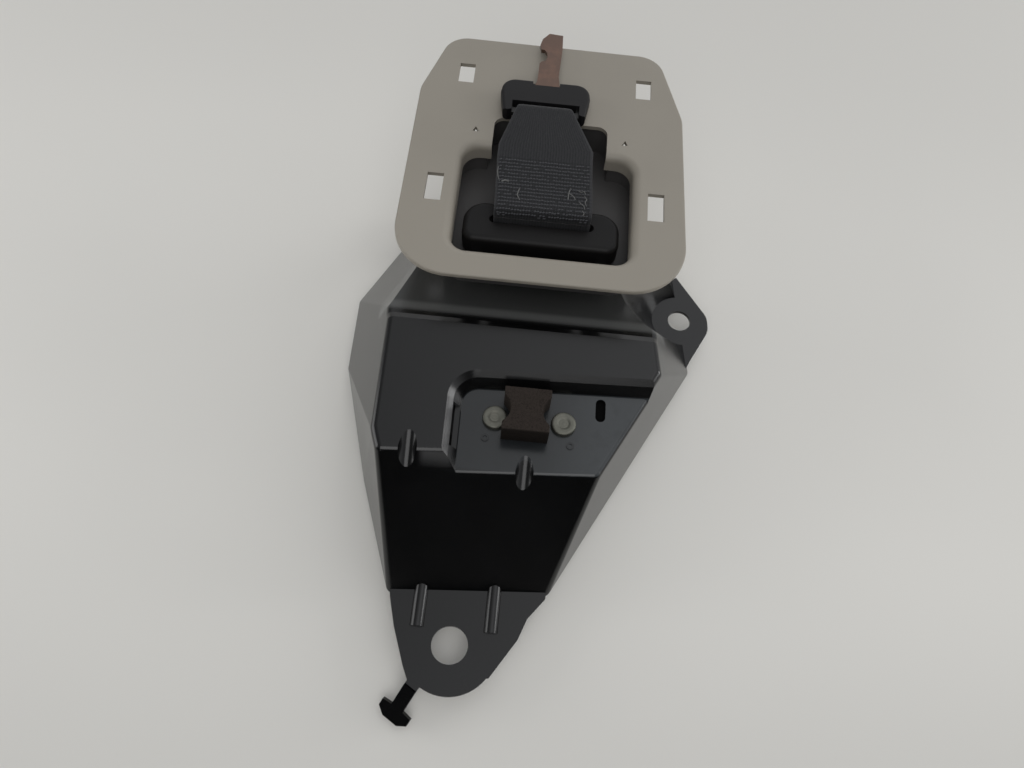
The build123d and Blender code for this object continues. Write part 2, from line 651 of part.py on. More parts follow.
# Retractor frame: base under the recess and two side plates
lock_spot = (spool_y + lock_pivot[0], spool_z + lock_pivot[1])
tie_place = (spool_y + tie_spot[0], spool_z + tie_spot[1])
with BuildPart() as retractor_frame:
    for inner_x in (-frame_out, frame_in):
        with BuildSketch(across(inner_x)):
            with Locations(axis_place):
                Circle(frame_r)
            with Locations((spool_y, (spool_z + frame_top_z) / 2)):
                Rectangle(2 * frame_back, frame_top_z - spool_z)
            with Locations(lock_spot):
                Circle(lock_bar_r + 2.2)
            with Locations((lock_spot[0] + 3, lock_spot[1] - 2)):
                Rectangle(10, 12)
            with Locations(tie_place):
                Circle(tie_r + 2.6)
            with Locations((tie_place[0] - 4, tie_place[1])):
                Rectangle(10, 9)
            with Locations(axis_place):
                Circle(bush_r, mode=Mode.SUBTRACT)
            with Locations(lock_spot):
                Circle(lock_bar_r + running_gap, mode=Mode.SUBTRACT)
            with Locations(tie_place):
                Circle(tie_r - 0.8, mode=Mode.SUBTRACT)
        extrude(amount=frame_plate)
    with BuildSketch(Plane.XY.offset(frame_top_z - frame_plate)):
        with Locations((belt_x, spool_y + frame_back)):
            Rectangle(2 * frame_out, frame_back + frame_base_back, align=(Align.CENTER, Align.MAX))
        with Locations((belt_x + frame_out, floor_slot[1])):
            Rectangle(slot_tab, 2 * slot_tab, align=(Align.MIN, Align.CENTER))
        with Locations(*rivet_spots):
            Circle(rivet_shank_r, mode=Mode.SUBTRACT)
    extrude(amount=frame_plate)
    case_screws = [from_spool(case_screw_radius, a) for a in case_screw_angles]
    with BuildSketch(across(-frame_out)):
        with Locations(*case_screws):
            Circle(cover_screw_r)
    extrude(amount=2 * frame_out, mode=Mode.SUBTRACT)
save(retractor_frame.part, "retractor_frame")

with BuildPart() as tie_bar:
    with BuildSketch(across(-frame_in)):
        with Locations(tie_place):
            Circle(tie_r)
    extrude(amount=2 * frame_in)
    with BuildSketch(across(-frame_out - 1)):
        with Locations(tie_place):
            Circle(tie_r - 0.8)
    extrude(amount=2 * frame_out + 2)
save(tie_bar.part, "tie_bar")

for side, label in ((-1, "frame_bush_left"), (1, "frame_bush_right")):
    with BuildPart() as bush:
        with BuildSketch(across(side * frame_in)):
            with Locations(axis_place):
                Circle(bush_r)
        extrude(amount=side * (frame_plate + 0.8))
        with BuildSketch(across(side * frame_out)):
            with Locations(axis_place):
                Circle(bush_flange_r)
        extrude(amount=side * 0.8)
        with BuildSketch(across(side * frame_in)):
            with Locations(axis_place):
                Circle(shaft_r + running_gap)
        extrude(amount=side * (frame_plate + 0.8), mode=Mode.SUBTRACT)
    save(bush.part, label)

# Spool and everything that turns with it
pin_place = from_spool((core_r + shaft_r) / 2, 90)
gear_x = frame_out + 1.4
with BuildPart() as spool:
    with BuildSketch(across(-flange_out)):
        with Locations(axis_place):
            Circle(core_r)
    extrude(amount=2 * flange_out)
    for low_x in (-flange_out, flange_in):
        with BuildSketch(across(low_x)):
            with Locations(axis_place):
                Circle(flange_r)
        extrude(amount=flange)
    with BuildSketch(across(-flange_out)):
        with Locations(axis_place):
            Circle(shaft_r)
    extrude(amount=2 * flange_out, mode=Mode.SUBTRACT)
    with BuildSketch(across(-roll_half)):
        with Locations(pin_place):
            Circle(pin_r)
    extrude(amount=webbing_width, mode=Mode.SUBTRACT)
save(spool.part, "spool")

with BuildPart() as webbing_pin:
    with BuildSketch(across(-roll_half)):
        with Locations(pin_place):
            Circle(pin_r)
    extrude(amount=webbing_width)
save(webbing_pin.part, "webbing_pin")

with BuildPart() as webbing_roll:
    with BuildSketch(across(-roll_half)):
        with Locations(axis_place):
            Circle(roll_r)
            Circle(core_r, mode=Mode.SUBTRACT)
    extrude(amount=webbing_width)
save(webbing_roll.part, "webbing_roll")

shaft_left = gear_x + gear_thickness + 1.0
shaft_right = frame_out + case_depth - 0.4
with BuildPart() as spool_shaft:
    with BuildSketch(across(-shaft_left)):
        with Locations(axis_place):
            Circle(shaft_r)
    extrude(amount=shaft_left + shaft_right)
    chamfer(spool_shaft.edges().filter_by(GeomType.CIRCLE), length=0.6)
save(spool_shaft.part, "spool_shaft")

# The lock bar's nose faces the wheel's left side, where a tooth gap waits for it at rest
tooth_pitch = 360.0 / ratchet_teeth
for low_x, label in ((-ratchet_out, "ratchet_wheel_left"), (flange_out, "ratchet_wheel_right")):
    with BuildPart() as wheel:
        with BuildSketch(across(low_x)):
            with BuildLine():
                corners = []
                for tooth in range(ratchet_teeth):
                    face_angle = 188 + tooth * tooth_pitch
                    corners.append(from_spool(ratchet_root_r, face_angle))
                    corners.append(from_spool(ratchet_r, face_angle + 1))
                    corners.append(from_spool(ratchet_r, face_angle + 3))
                Polyline(*corners, close=True)
            make_face()
            with Locations(axis_place):
                Circle(shaft_r, mode=Mode.SUBTRACT)
        extrude(amount=ratchet_thickness)
    save(wheel.part, label)

nose_r = ratchet_r + lock_clear
with BuildPart() as lock_bar:
    with BuildSketch(across(-frame_out - 1.5)):
        with Locations(lock_spot):
            Circle(lock_bar_r)
    extrude(amount=2 * frame_out + 1.5)
    for low_x in (-ratchet_out + 0.1, flange_out + 0.3):
        with BuildSketch(across(low_x)):
            with BuildLine():
                Polyline(from_spool(nose_r, 180 - degrees(lock_nose / 2 / nose_r)),
                         from_spool(nose_r, 180 + degrees(lock_nose / 2 / nose_r)),
                         (lock_spot[0] - 1.5, spool_z - 1.5), (lock_spot[0] - 4.2, lock_spot[1]),
                         (lock_spot[0] + 3.2, lock_spot[1] + 2.5), (lock_spot[0] + 1.6, lock_spot[1] - 5),
                         close=True)
            make_face()
        extrude(amount=ratchet_thickness - 0.4)
save(lock_bar.part, "lock_bar")

with BuildPart() as lock_bar_spring:
    with BuildSketch(across(-frame_out - 1.3)):
        with Locations(lock_spot):
            Circle(lock_bar_r + 1.3)
            Circle(lock_bar_r + 0.5, mode=Mode.SUBTRACT)
        with Locations((lock_spot[0] + 3.9, lock_spot[1] + 5)):
            Rectangle(0.8, 10)
    extrude(amount=1.0)
save(lock_bar_spring.part, "lock_bar_spring")

# Locking mechanism on the left side
lever_tip_y = spool_y - 4.0
lever_tip_z = spool_z + gear_r + 0.9
lever_angle = degrees(atan2(lever_tip_z - spool_z, lever_tip_y - spool_y))
gear_pitch = 360.0 / gear_teeth
with BuildPart() as lock_gear:
    with BuildSketch(across(-gear_x - gear_thickness)):
        with BuildLine():
            corners = []
            for tooth in range(gear_teeth):
                gap_angle = lever_angle + tooth * gear_pitch
                corners.append(from_spool(gear_r - 2.2, gap_angle - 3))
                corners.append(from_spool(gear_r - 2.2, gap_angle + 3))
                corners.append(from_spool(gear_r, gap_angle + 8))
                corners.append(from_spool(gear_r, gap_angle + 12))
            Polyline(*corners, close=True)
        make_face()
        with Locations(axis_place):
            Circle(shaft_r, mode=Mode.SUBTRACT)
    extrude(amount=gear_thickness)
save(lock_gear.part, "lock_gear")

sensor_y = spool_y
ball_x = gear_x + gear_thickness / 2 + 2.7
ball_z = lever_tip_z + 2.4 + ball_r
sensor_top_z = frame_top_z - sensor_wall - 1.2
cover_height = sensor_top_z + 0.2 - spool_z
lever_pivot = (sensor_y + ball_r + 5, lever_tip_z + 1.2)
with BuildPart() as sensor_housing:
    with BuildSketch(Plane.XY.offset(sensor_top_z)):
        with Locations((belt_x - frame_out, sensor_y)):
            Rectangle(sensor_depth - sensor_wall - 0.4, 2 * ball_r + 6, align=(Align.MAX, Align.CENTER))
    extrude(amount=ball_z - sensor_top_z)
    with Locations((belt_x - ball_x, sensor_y, ball_z)):
        Sphere(ball_r + 0.35, mode=Mode.SUBTRACT)
    with BuildSketch(across(-frame_out)):
        with Locations((sensor_y + ball_r + 3, ball_z)):
            Rectangle(4, ball_z - lever_tip_z + 1.5, align=(Align.MIN, Align.MAX))
            Rectangle(4, 3.5, align=(Align.MIN, Align.MIN))
        with Locations(lever_pivot):
            Circle(lever_pin_r + running_gap, mode=Mode.SUBTRACT)
    extrude(amount=-1.1)
save(sensor_housing.part, "sensor_housing")

with BuildPart() as sensor_ball:
    with Locations((belt_x - ball_x, sensor_y, ball_z)):
        Sphere(ball_r)
save(sensor_ball.part, "sensor_ball")

with BuildPart() as sensor_lever:
    with BuildSketch(across(-gear_x - gear_thickness - 2)):
        with BuildLine():
            Polyline((lever_tip_y - 0.5, lever_tip_z), (lever_tip_y + 0.5, lever_tip_z),
                     (lever_tip_y + 1.4, lever_tip_z + 0.9), (lever_pivot[0], lever_pivot[1] - 0.8),
                     (lever_pivot[0], lever_pivot[1] + 0.6), (lever_tip_y - 3, lever_tip_z + 1.9),
                     (lever_tip_y - 3, lever_tip_z + 0.9), (lever_tip_y - 1.4, lever_tip_z + 0.9),
                     close=True)
        make_face()
        with Locations(lever_pivot):
            Circle(1.4)
    extrude(amount=gear_thickness + 2)
    with BuildSketch(across(-gear_x)):
        with Locations(lever_pivot):
            Circle(lever_pin_r)
    extrude(amount=1.2)
save(sensor_lever.part, "sensor_lever")

with BuildPart() as sensor_cover:
    with BuildSketch(across(-frame_out)) as shape:
        with Locations(axis_place):
            Circle(gear_r + 3.2)
        with Locations((sensor_y + 2, spool_z)):
            Rectangle(2 * ball_r + 12 + 2 * sensor_wall, cover_height + sensor_wall,
                      align=(Align.CENTER, Align.MIN))
        with Locations(*case_screws):
            Circle(screw_lobe_r)
        make_hull()
    extrude(amount=-sensor_depth)
    with BuildSketch(across(-frame_out)):
        with Locations(axis_place):
            Circle(gear_r + 1.4)
        with Locations((sensor_y + 2, spool_z)):
            Rectangle(2 * ball_r + 12, cover_height, align=(Align.CENTER, Align.MIN))
    extrude(amount=sensor_wall - sensor_depth, mode=Mode.SUBTRACT)
    with BuildSketch(across(-frame_out)):
        with Locations(*case_screws):
            Circle(cover_screw_r)
    extrude(amount=-sensor_depth, mode=Mode.SUBTRACT)
save(sensor_cover.part, "sensor_cover")

# Rewind spring on the right side
with BuildPart() as spring_case:
    with BuildSketch(across(frame_out)):
        with Locations(axis_place):
            Circle(case_r)
        with Locations(*case_screws):
            Circle(screw_lobe_r)
    extrude(amount=case_depth)
    with BuildSketch(across(frame_out + cover_wall)):
        with Locations(axis_place):
            Circle(case_r - cover_wall)
    extrude(amount=case_depth - cover_wall, mode=Mode.SUBTRACT)
    with BuildSketch(across(frame_out)):
        with Locations(axis_place):
            Circle(bush_flange_r)
        with Locations(*case_screws):
            Circle(cover_screw_r)
    extrude(amount=case_depth, mode=Mode.SUBTRACT)
save(spring_case.part, "spring_case")

spring_low_x = frame_out + cover_wall + 0.2
with BuildPart() as spring_arbor:
    with BuildSketch(across(spring_low_x)):
        with Locations(axis_place):
            Circle(arbor_r)
            Circle(shaft_r, mode=Mode.SUBTRACT)
    extrude(amount=shaft_right - spring_low_x)
save(spring_arbor.part, "spring_arbor")

spring_pitch = (case_r - cover_wall - 0.6 - spring_inner_r) / spring_turns
with BuildPart() as mainspring:
    with BuildSketch(across(spring_low_x)):
        with BuildLine():
            for half_turn in range(2 * spring_turns):
                shift = half_turn % 2 * spring_pitch / 2
                radius = spring_inner_r + half_turn * spring_pitch / 2
                CenterArc((spool_y + shift, spool_z), radius, half_turn % 2 * 180, 180)
        trace(line_width=spring_strip)
    extrude(amount=shaft_right - spring_low_x - 0.4)
save(mainspring.part, "mainspring")

with BuildPart() as spring_cover:
    with BuildSketch(across(frame_out + case_depth)):
        with Locations(axis_place):
            Circle(case_r)
        with Locations(*case_screws):
            Circle(screw_lobe_r)
            Circle(cover_screw_r, mode=Mode.SUBTRACT)
    extrude(amount=lid)
save(spring_cover.part, "spring_cover")

for side, label, start_x in ((-1, "sensor_cover_screws", frame_out + sensor_depth),
                             (1, "spring_cover_screws", frame_out + case_depth + lid)):
    with BuildPart() as screws:
        with BuildSketch(across(side * start_x)):
            with Locations(*case_screws):
                Circle(cover_screw_r + 1.2)
        extrude(amount=side * 1.4)
        with BuildSketch(across(side * start_x)):
            with Locations(*case_screws):
                Circle(cover_screw_r)
        extrude(amount=-side * (start_x - frame_in))
    save(screws.part, label)
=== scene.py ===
"""Ceiling-mounted rear centre seat belt: bracket, retractor, trim pocket, latch plate and small tongue.

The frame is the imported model's, in metres: the origin is the lower anchor hole, +Y runs along the bracket
towards the trim bezel, and +Z points into the cabin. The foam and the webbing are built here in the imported
model's millimetres, and MM turns them into metres. Finishes, lights and the camera are in metres.
"""

import logging
import math
import random
from dataclasses import dataclass, field
from enum import Enum
from typing import Any, Mapping, Sequence, Union

import bmesh
import bpy
from mathutils import Matrix, Vector


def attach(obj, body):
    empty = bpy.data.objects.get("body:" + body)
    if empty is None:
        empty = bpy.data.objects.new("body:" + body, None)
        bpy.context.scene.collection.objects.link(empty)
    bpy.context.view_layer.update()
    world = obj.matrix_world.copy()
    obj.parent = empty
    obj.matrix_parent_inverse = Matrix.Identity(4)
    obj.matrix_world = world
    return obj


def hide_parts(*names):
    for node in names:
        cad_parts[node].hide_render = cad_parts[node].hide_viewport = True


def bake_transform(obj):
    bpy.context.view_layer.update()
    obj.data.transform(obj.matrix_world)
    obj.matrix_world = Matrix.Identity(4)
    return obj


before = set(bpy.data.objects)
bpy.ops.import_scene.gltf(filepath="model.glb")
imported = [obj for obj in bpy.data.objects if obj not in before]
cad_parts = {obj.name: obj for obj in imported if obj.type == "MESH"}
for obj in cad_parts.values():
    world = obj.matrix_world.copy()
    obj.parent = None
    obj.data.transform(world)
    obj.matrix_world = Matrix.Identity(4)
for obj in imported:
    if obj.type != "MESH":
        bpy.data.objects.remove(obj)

LOG = logging.getLogger("seat_belt")
MM = 0.001
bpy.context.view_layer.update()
STITCH_ROW_PITCH = 1.96  # in millimetres; the webbing's finish dents with it too

Colour = tuple[float, float, float]
Point = tuple[float, float, float]
Place = tuple[float, float]
Limits = tuple[float, float]
Band = tuple[float, float, float, float]
Face = tuple[int, ...]


class Body(Enum):
    """Moving groups that the new pieces ride on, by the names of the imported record."""

    UNIT = "unit"
    BELT_END = "belt_end"


class Slot(Enum):
    """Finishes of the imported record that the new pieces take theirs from."""

    WEBBING = "webbing"
    FOAM = "foam"


class Fade(Enum):
    """How a value changes between two limits."""

    SMOOTH = "SMOOTHSTEP"
    EVEN = "LINEAR"


# Shader maths


class Signal:
    """A number that flows through a material's or world's nodes."""

    def __init__(self, graph: "Graph", socket: bpy.types.NodeSocket) -> None:
        """Wrap one output socket.

        Args:
            graph: The graph that the socket's node belongs to.
            socket: The output socket that carries the number.
        """
        self.graph = graph
        self.socket = socket

    def _math(self, operation: str, first: "Operand", second: "Operand") -> "Signal":
        """Add one Math node.

        Args:
            operation: The Math node's operation.
            first: A signal or number for the first socket.
            second: A signal or number for the second socket.

        Returns:
            The node's result.
        """
        node = self.graph.node("ShaderNodeMath", {"operation": operation}, {0: first, 1: second})
        return Signal(self.graph, node.outputs[0])

    def __add__(self, other: "Operand") -> "Signal":
        """Sum of two signals."""
        return self._math("ADD", self, other)

    def __radd__(self, other: "Operand") -> "Signal":
        """Sum of a number and a signal."""
        return self._math("ADD", other, self)

    def __sub__(self, other: "Operand") -> "Signal":
        """Difference of two signals."""
        return self._math("SUBTRACT", self, other)

    def __rsub__(self, other: "Operand") -> "Signal":
        """Difference of a number and a signal."""
        return self._math("SUBTRACT", other, self)

    def __mul__(self, other: "Operand") -> "Signal":
        """Product of two signals."""
        return self._math("MULTIPLY", self, other)

    def __rmul__(self, other: "Operand") -> "Signal":
        """Product of a number and a signal."""
        return self._math("MULTIPLY", other, self)

    def sine(self) -> "Signal":
        """Sine of the signal."""
        return self._math("SINE", self, 0.0)

    def magnitude(self) -> "Signal":
        """Signal without its sign."""
        return self._math("ABSOLUTE", self, 0.0)

    def power(self, exponent: float) -> "Signal":
        """Signal raised to a fixed power."""
        return self._math("POWER", self, exponent)

    def larger(self, other: "Operand") -> "Signal":
        """Larger of two signals."""
        return self._math("MAXIMUM", self, other)

    def step(self, low: float, high: float, start: float = 0.0, end: float = 1.0,
             fade: Fade = Fade.SMOOTH) -> "Signal":
        """Step between two limits.

        Args:
            low: Value at which the step starts.
            high: Value at which the step ends.
            start: Result below the step.
            end: Result above the step.
            fade: How the result changes on the step.

        Returns:
            The stepped signal.
        """
        node = self.graph.node("ShaderNodeMapRange", {"interpolation_type": fade.value},
                               {"Value": self, "From Min": low, "From Max": high,
                                "To Min": start, "To Max": end})
        return Signal(self.graph, node.outputs[0])

    def within(self, band: Band) -> "Signal":
        """Mask of a band of values, 1 inside it and 0 outside.

        Args:
            band: Values at which the mask starts, is full, starts to fade and is gone.

        Returns:
            The mask.
        """
        start, full, fading, gone = band
        return self.step(start, full) * self.step(fading, gone, 1.0, 0.0)


Operand = Union[Signal, float]
Source = Union[Signal, bpy.types.NodeSocket, float, Point]


class Graph:
    """Nodes of one material or world, added by type."""

    def __init__(self, owner: Union[bpy.types.Material, bpy.types.World],
                 output: str = "ShaderNodeOutputMaterial", shader: str = "ShaderNodeBsdfPrincipled") -> None:
        """Clear a material or world down to its shader.

        Args:
            owner: The material or world whose nodes are made.
            output: Blender type of the output node.
            shader: Blender type of the shader node.
        """
        owner.use_nodes = True
        self.tree = owner.node_tree
        self.tree.nodes.clear()
        self.shader = self.node(shader, {}, {})
        self.node(output, {}, {"Surface": self.shader.outputs[0]})

    def node(self, kind: str, settings: Mapping[str, Any],
             values: Mapping[Union[int, str], Source]) -> bpy.types.Node:
        """Add one node.

        Args:
            kind: The node's Blender type.
            settings: Attributes, which are set first.
            values: Values or links, by the input's name or number.

        Returns:
            The new node.
        """
        node = self.tree.nodes.new(kind)
        for name, value in settings.items():
            setattr(node, name, value)
        for key, value in values.items():
            self.feed(node.inputs[key], value)
        return node

    def feed(self, socket: bpy.types.NodeSocket, value: Source) -> None:
        """Set or link one input.

        Args:
            socket: The input socket.
            value: A signal, a socket, a number, a colour or a vector.
        """
        if isinstance(value, Signal):
            self.tree.links.new(value.socket, socket)
        elif isinstance(value, bpy.types.NodeSocket):
            self.tree.links.new(value, socket)
        elif socket.type == "RGBA":
            socket.default_value = (*value, 1.0)
        else:
            socket.default_value = value

    def place(self) -> bpy.types.NodeSocket:
        """Place on the object, in metres."""
        return self.node("ShaderNodeTexCoord", {}, {}).outputs["Object"]

    def split(self, vector: bpy.types.NodeSocket) -> tuple[Signal, Signal, Signal]:
        """The three parts of a vector."""
        parts = self.node("ShaderNodeSeparateXYZ", {}, {"Vector": vector}).outputs
        return Signal(self, parts[0]), Signal(self, parts[1]), Signal(self, parts[2])

    def axes(self) -> tuple[Signal, Signal, Signal]:
        """The three parts of the place on the object."""
        return self.split(self.place())

    def stretched(self, scale: Point) -> bpy.types.NodeSocket:
        """Place on the object, scaled along each axis.

        Args:
            scale: Factors along X, Y and Z.

        Returns:
            The scaled vector.
        """
        node = self.node("ShaderNodeVectorMath", {"operation": "MULTIPLY"}, {0: self.place(), 1: scale})
        return node.outputs[0]

    def noise(self, scale: float, detail: float = 3.0, roughness: float = 0.55,
              place: Union[bpy.types.NodeSocket, None] = None) -> Signal:
        """Smooth noise from 0 to 1.

        Args:
            scale: Features per metre.
            detail: Octaves.
            roughness: Strength of the finer octaves.
            place: Vector that the noise is read at, or None for the place on the object.

        Returns:
            The noise.
        """
        node = self.node("ShaderNodeTexNoise", {}, {"Vector": place or self.place(), "Scale": scale,
                                                    "Detail": detail, "Roughness": roughness})
        return Signal(self, node.outputs[0])

    def cells(self, scale: float) -> Signal:
        """Distance to the nearest of scattered points.

        Args:
            scale: Points per metre.

        Returns:
            The distance, in cells.
        """
        node = self.node("ShaderNodeTexVoronoi", {"feature": "F1"}, {"Vector": self.place(), "Scale": scale})
        return Signal(self, node.outputs["Distance"])

    def mix(self, factor: Source, first: Source, second: Source) -> bpy.types.NodeSocket:
        """Blend of two colours.

        Args:
            factor: Share of the second colour.
            first: The first colour.
            second: The second colour.

        Returns:
            The blended colour.
        """
        node = self.node("ShaderNodeMix", {"data_type": "RGBA"}, {"Factor": factor, 6: first, 7: second})
        return node.outputs[2]

    def bump(self, height: Signal, depth: float) -> None:
        """Raise the shader's surface by a height.

        Args:
            height: Height from 0 to 1.
            depth: Height of 1, in metres.
        """
        node = self.node("ShaderNodeBump", {}, {"Height": height, "Distance": depth, "Strength": 1.0})
        self.feed(self.shader.inputs["Normal"], node.outputs[0])

    def surface(self, **values: Source) -> None:
        """Set the shader's sockets, with underscores in place of spaces in their names.

        Args:
            values: Values or links by socket name.
        """
        for name, value in values.items():
            self.feed(self.shader.inputs[name.replace("_", " ").title().replace("Ior", "IOR")], value)


def tint(colour: Colour, factor: float) -> Colour:
    """Colour made lighter or darker.

    Args:
        colour: The colour.
        factor: What each part is multiplied by.

    Returns:
        The new colour.
    """
    return tuple(min(1.0, part * factor) for part in colour)


# Finishes: colours are linear, scales are features per metre, and lengths are in metres


@dataclass(frozen=True)
class Finish:
    """Surface of one kind, which becomes a material."""

    name: str

    def build(self) -> bpy.types.Material:
        """Make the material.

        Returns:
            The material.
        """
        material = bpy.data.materials.new(self.name)
        self.paint(Graph(material))
        return material

    def paint(self, graph: Graph) -> None:
        """Set the shader up.

        Args:
            graph: The material's graph.
        """
        raise NotImplementedError


@dataclass(frozen=True)
class ElectroCoat(Finish):
    """Black electrocoat on pressed steel: thin, smooth, with a faint orange peel.

    It is a little lighter where the room is reflected in it, painted into its colour: painted reflection on
    the recess's floor and on the recess's left wall, and painted light on the bracket's far face, with a
    brighter painted streak.
    """

    name: str = "bracket_coat"
    colour: Colour = (0.0020, 0.0021, 0.0023)
    roughness: float = 0.16
    specular: float = 0.55
    cloud_scale: float = 14.0
    cloud_limits: Limits = (0.35, 0.7)
    cloud_tint: float = 1.5
    cloud_dulling: float = 0.10
    peel_scale: float = 420.0
    peel_share: float = 0.8
    fine_scale: float = 900.0
    fine_share: float = 0.2
    peel_depth: float = 0.000010
    dust_colour: Colour = (0.05, 0.05, 0.05)
    dust_scale: float = 4200.0
    dust_limits: Limits = (0.70, 0.78)
    dust_share: float = 0.20
    dust_dulling: float = 0.2
    # Painted reflection of the room on the recess's floor, lighter to the right, with darker smudges
    recess_painted_reflection: Colour = (0.019, 0.0215, 0.0232)
    recess_y: Limits = (0.066, 0.070)
    recess_z: Band = (0.0490, 0.0494, 0.0502, 0.0508)
    bright_x: Limits = (0.030, 0.062)
    bright_tint: float = 2.0
    smudge_scale: float = 90.0
    smudge_limits: Limits = (0.50, 0.72)
    smudge_share: float = 0.35
    smudge_tint: float = 0.8
    # Painted light on the bracket's far face, with a painted streak of reflection across it
    far_painted_light: Colour = (0.045, 0.046, 0.045)
    far_y: Limits = (0.142, 0.146)
    far_z: Limits = (0.040, 0.044)
    streak_y: Band = (0.1425, 0.1445, 0.1475, 0.1505)
    streak_tint: float = 2.1
    # Painted highlight on the recess's left wall
    wall_painted_highlight: Colour = (0.060, 0.060, 0.061)
    wall_x: Band = (-0.022, -0.018, -0.0085, -0.0050)
    wall_y: Band = (0.066, 0.072, 0.100, 0.106)
    wall_z: Band = (0.0506, 0.0516, 0.0566, 0.0576)

    def paint(self, graph: Graph) -> None:
        """Colour the coat by its place on the bracket, with painted reflections and painted light, and give
        it dust and orange peel.

        Args:
            graph: The material's graph.
        """
        x, y, z = graph.axes()
        cloud = graph.noise(self.cloud_scale, 4.0, 0.6)
        dust = graph.noise(self.dust_scale, 1.0).step(*self.dust_limits)
        colour = graph.mix(cloud.step(*self.cloud_limits), self.colour, tint(self.colour, self.cloud_tint))
        # Painted reflection on the recess's floor
        colour = graph.mix(z.within(self.recess_z) * y.step(*self.recess_y), colour, self.recess(graph, x))
        # Painted light on the far face, with a painted streak of reflection
        streak = tint(self.far_painted_light, self.streak_tint)
        far = graph.mix(y.within(self.streak_y), self.far_painted_light, streak)
        colour = graph.mix(y.step(*self.far_y) * z.step(*self.far_z), colour, far)
        # Painted highlight on the recess's left wall
        wall = x.within(self.wall_x) * y.within(self.wall_y) * z.within(self.wall_z)
        colour = graph.mix(wall, colour, self.wall_painted_highlight)
        colour = graph.mix(dust * self.dust_share, colour, self.dust_colour)
        roughness = self.roughness + cloud * self.cloud_dulling + dust * self.dust_dulling
        graph.surface(base_color=colour, roughness=roughness, specular_ior_level=self.specular)
        peel = graph.noise(self.peel_scale, 2.0) * self.peel_share
        graph.bump(peel + graph.noise(self.fine_scale, 2.0) * self.fine_share, self.peel_depth)

    def recess(self, graph: Graph, x: Signal) -> bpy.types.NodeSocket:
        """Painted reflection on the recess's floor, brighter to the right and smudged.

        Args:
            graph: The material's graph.
            x: Place across the bracket.

        Returns:
            The colour.
        """
        bright = tint(self.recess_painted_reflection, self.bright_tint)
        even = graph.mix(x.step(*self.bright_x), self.recess_painted_reflection, bright)
        smudge = graph.noise(self.smudge_scale, 4.0, 0.65).step(*self.smudge_limits)
        return graph.mix(smudge * self.smudge_share, even, tint(self.recess_painted_reflection, self.smudge_tint))


@dataclass(frozen=True)
class Plated(Finish):
    """Bare or plated steel, with a grain along one direction and turned rings round chosen spots."""

    colour: Colour
    roughness: float = 0.35
    grain: Point = (1.0, 1.0, 1.0)
    grain_scale: float = 900.0
    grain_depth: float = 0.000006
    grain_share: float = 0.5
    grain_tint: float = 0.72
    grain_dulling: float = 0.12
    stain: Colour = (0.25, 0.24, 0.22)
    stain_scale: float = 160.0
    stain_limits: Limits = (0.45, 0.72)
    stain_share: float = 0.25
    stain_dulling: float = 0.10
    dark_colour: Colour = (0.008, 0.008, 0.008)
    dark_fade: float = 0.001
    dark_below_y: Union[float, None] = None
    ring_spots: tuple[Place, ...] = ()
    ring_pitch: float = 0.0013
    ring_radius: Limits = (0.0052, 0.0058)
    ring_height: float = 6.0

    def paint(self, graph: Graph) -> None:
        """Give the steel its grain, stains and rings, and make it black and not metal below one place along
        Y.

        Args:
            graph: The material's graph.
        """
        grain = graph.noise(self.grain_scale, 3.0, 0.6, graph.stretched(self.grain))
        blotch = graph.noise(self.stain_scale, 4.0, 0.65).step(*self.stain_limits)
        colour = graph.mix(grain * self.grain_share, self.colour, tint(self.colour, self.grain_tint))
        colour = graph.mix(blotch * self.stain_share, colour, self.stain)
        metal: Operand = 1.0
        # Below this place along Y, where the blade's root shows in the head's slot, the steel is coloured
        # black and not metal
        if self.dark_below_y is not None:
            _, y, _ = graph.axes()
            metal = y.step(self.dark_below_y, self.dark_below_y + self.dark_fade)
            colour = graph.mix(metal, self.dark_colour, colour)
        roughness = self.roughness + grain * self.grain_dulling + blotch * self.stain_dulling
        graph.surface(base_color=colour, metallic=metal, roughness=roughness)
        graph.bump(self.add_rings(graph, grain) if self.ring_spots else grain, self.grain_depth)

    def add_rings(self, graph: Graph, height: Signal) -> Signal:
        """Raise turned rings round each spot.

        Args:
            graph: The material's graph.
            height: The height so far.

        Returns:
            The height with the rings.
        """
        x, y, _ = graph.axes()
        for spot_x, spot_y in self.ring_spots:
            across, along = x - spot_x, y - spot_y
            distance = (across * across + along * along).power(0.5)
            rings = (distance * (2 * math.pi / self.ring_pitch)).sine() * 0.5 + 0.5
            height = height + rings * distance.step(*self.ring_radius, self.ring_height, 0.0)
        return height


@dataclass(frozen=True)
class Moulded(Finish):
    """Moulded plastic with a fine spark-eroded grain."""

    colour: Colour
    roughness: float = 0.5
    grain_scale: float = 2600.0
    grain_depth: float = 0.000018
    grain_share: float = 0.7
    fine_ratio: float = 0.6
    fine_share: float = 0.5
    speckle: float = 0.12
    gloss: float = 0.42
    cloud_scale: float = 24.0
    cloud_limits: Limits = (0.4, 0.7)
    cloud_share: float = 0.25
    cloud_tint: float = 0.9
    cloud_dulling: float = 0.12

    def paint(self, graph: Graph) -> None:
        """Give the plastic its grain, and clouds of duller and darker skin.

        Args:
            graph: The material's graph.
        """
        grain = graph.cells(self.grain_scale)
        cloud = graph.noise(self.cloud_scale, 3.0, 0.5)
        colour = graph.mix(grain * self.speckle * 2.0, tint(self.colour, 1.0 + self.speckle / 2),
                           tint(self.colour, 1.0 - self.speckle))
        cloudy = cloud.step(*self.cloud_limits) * self.cloud_share
        colour = graph.mix(cloudy, colour, tint(self.colour, self.cloud_tint))
        graph.surface(base_color=colour, roughness=self.roughness + (cloud - 0.5) * self.cloud_dulling,
                      specular_ior_level=self.gloss)
        fine = graph.noise(self.grain_scale * self.fine_ratio, 2.0)
        graph.bump(grain * self.grain_share + fine * self.fine_share, self.grain_depth)


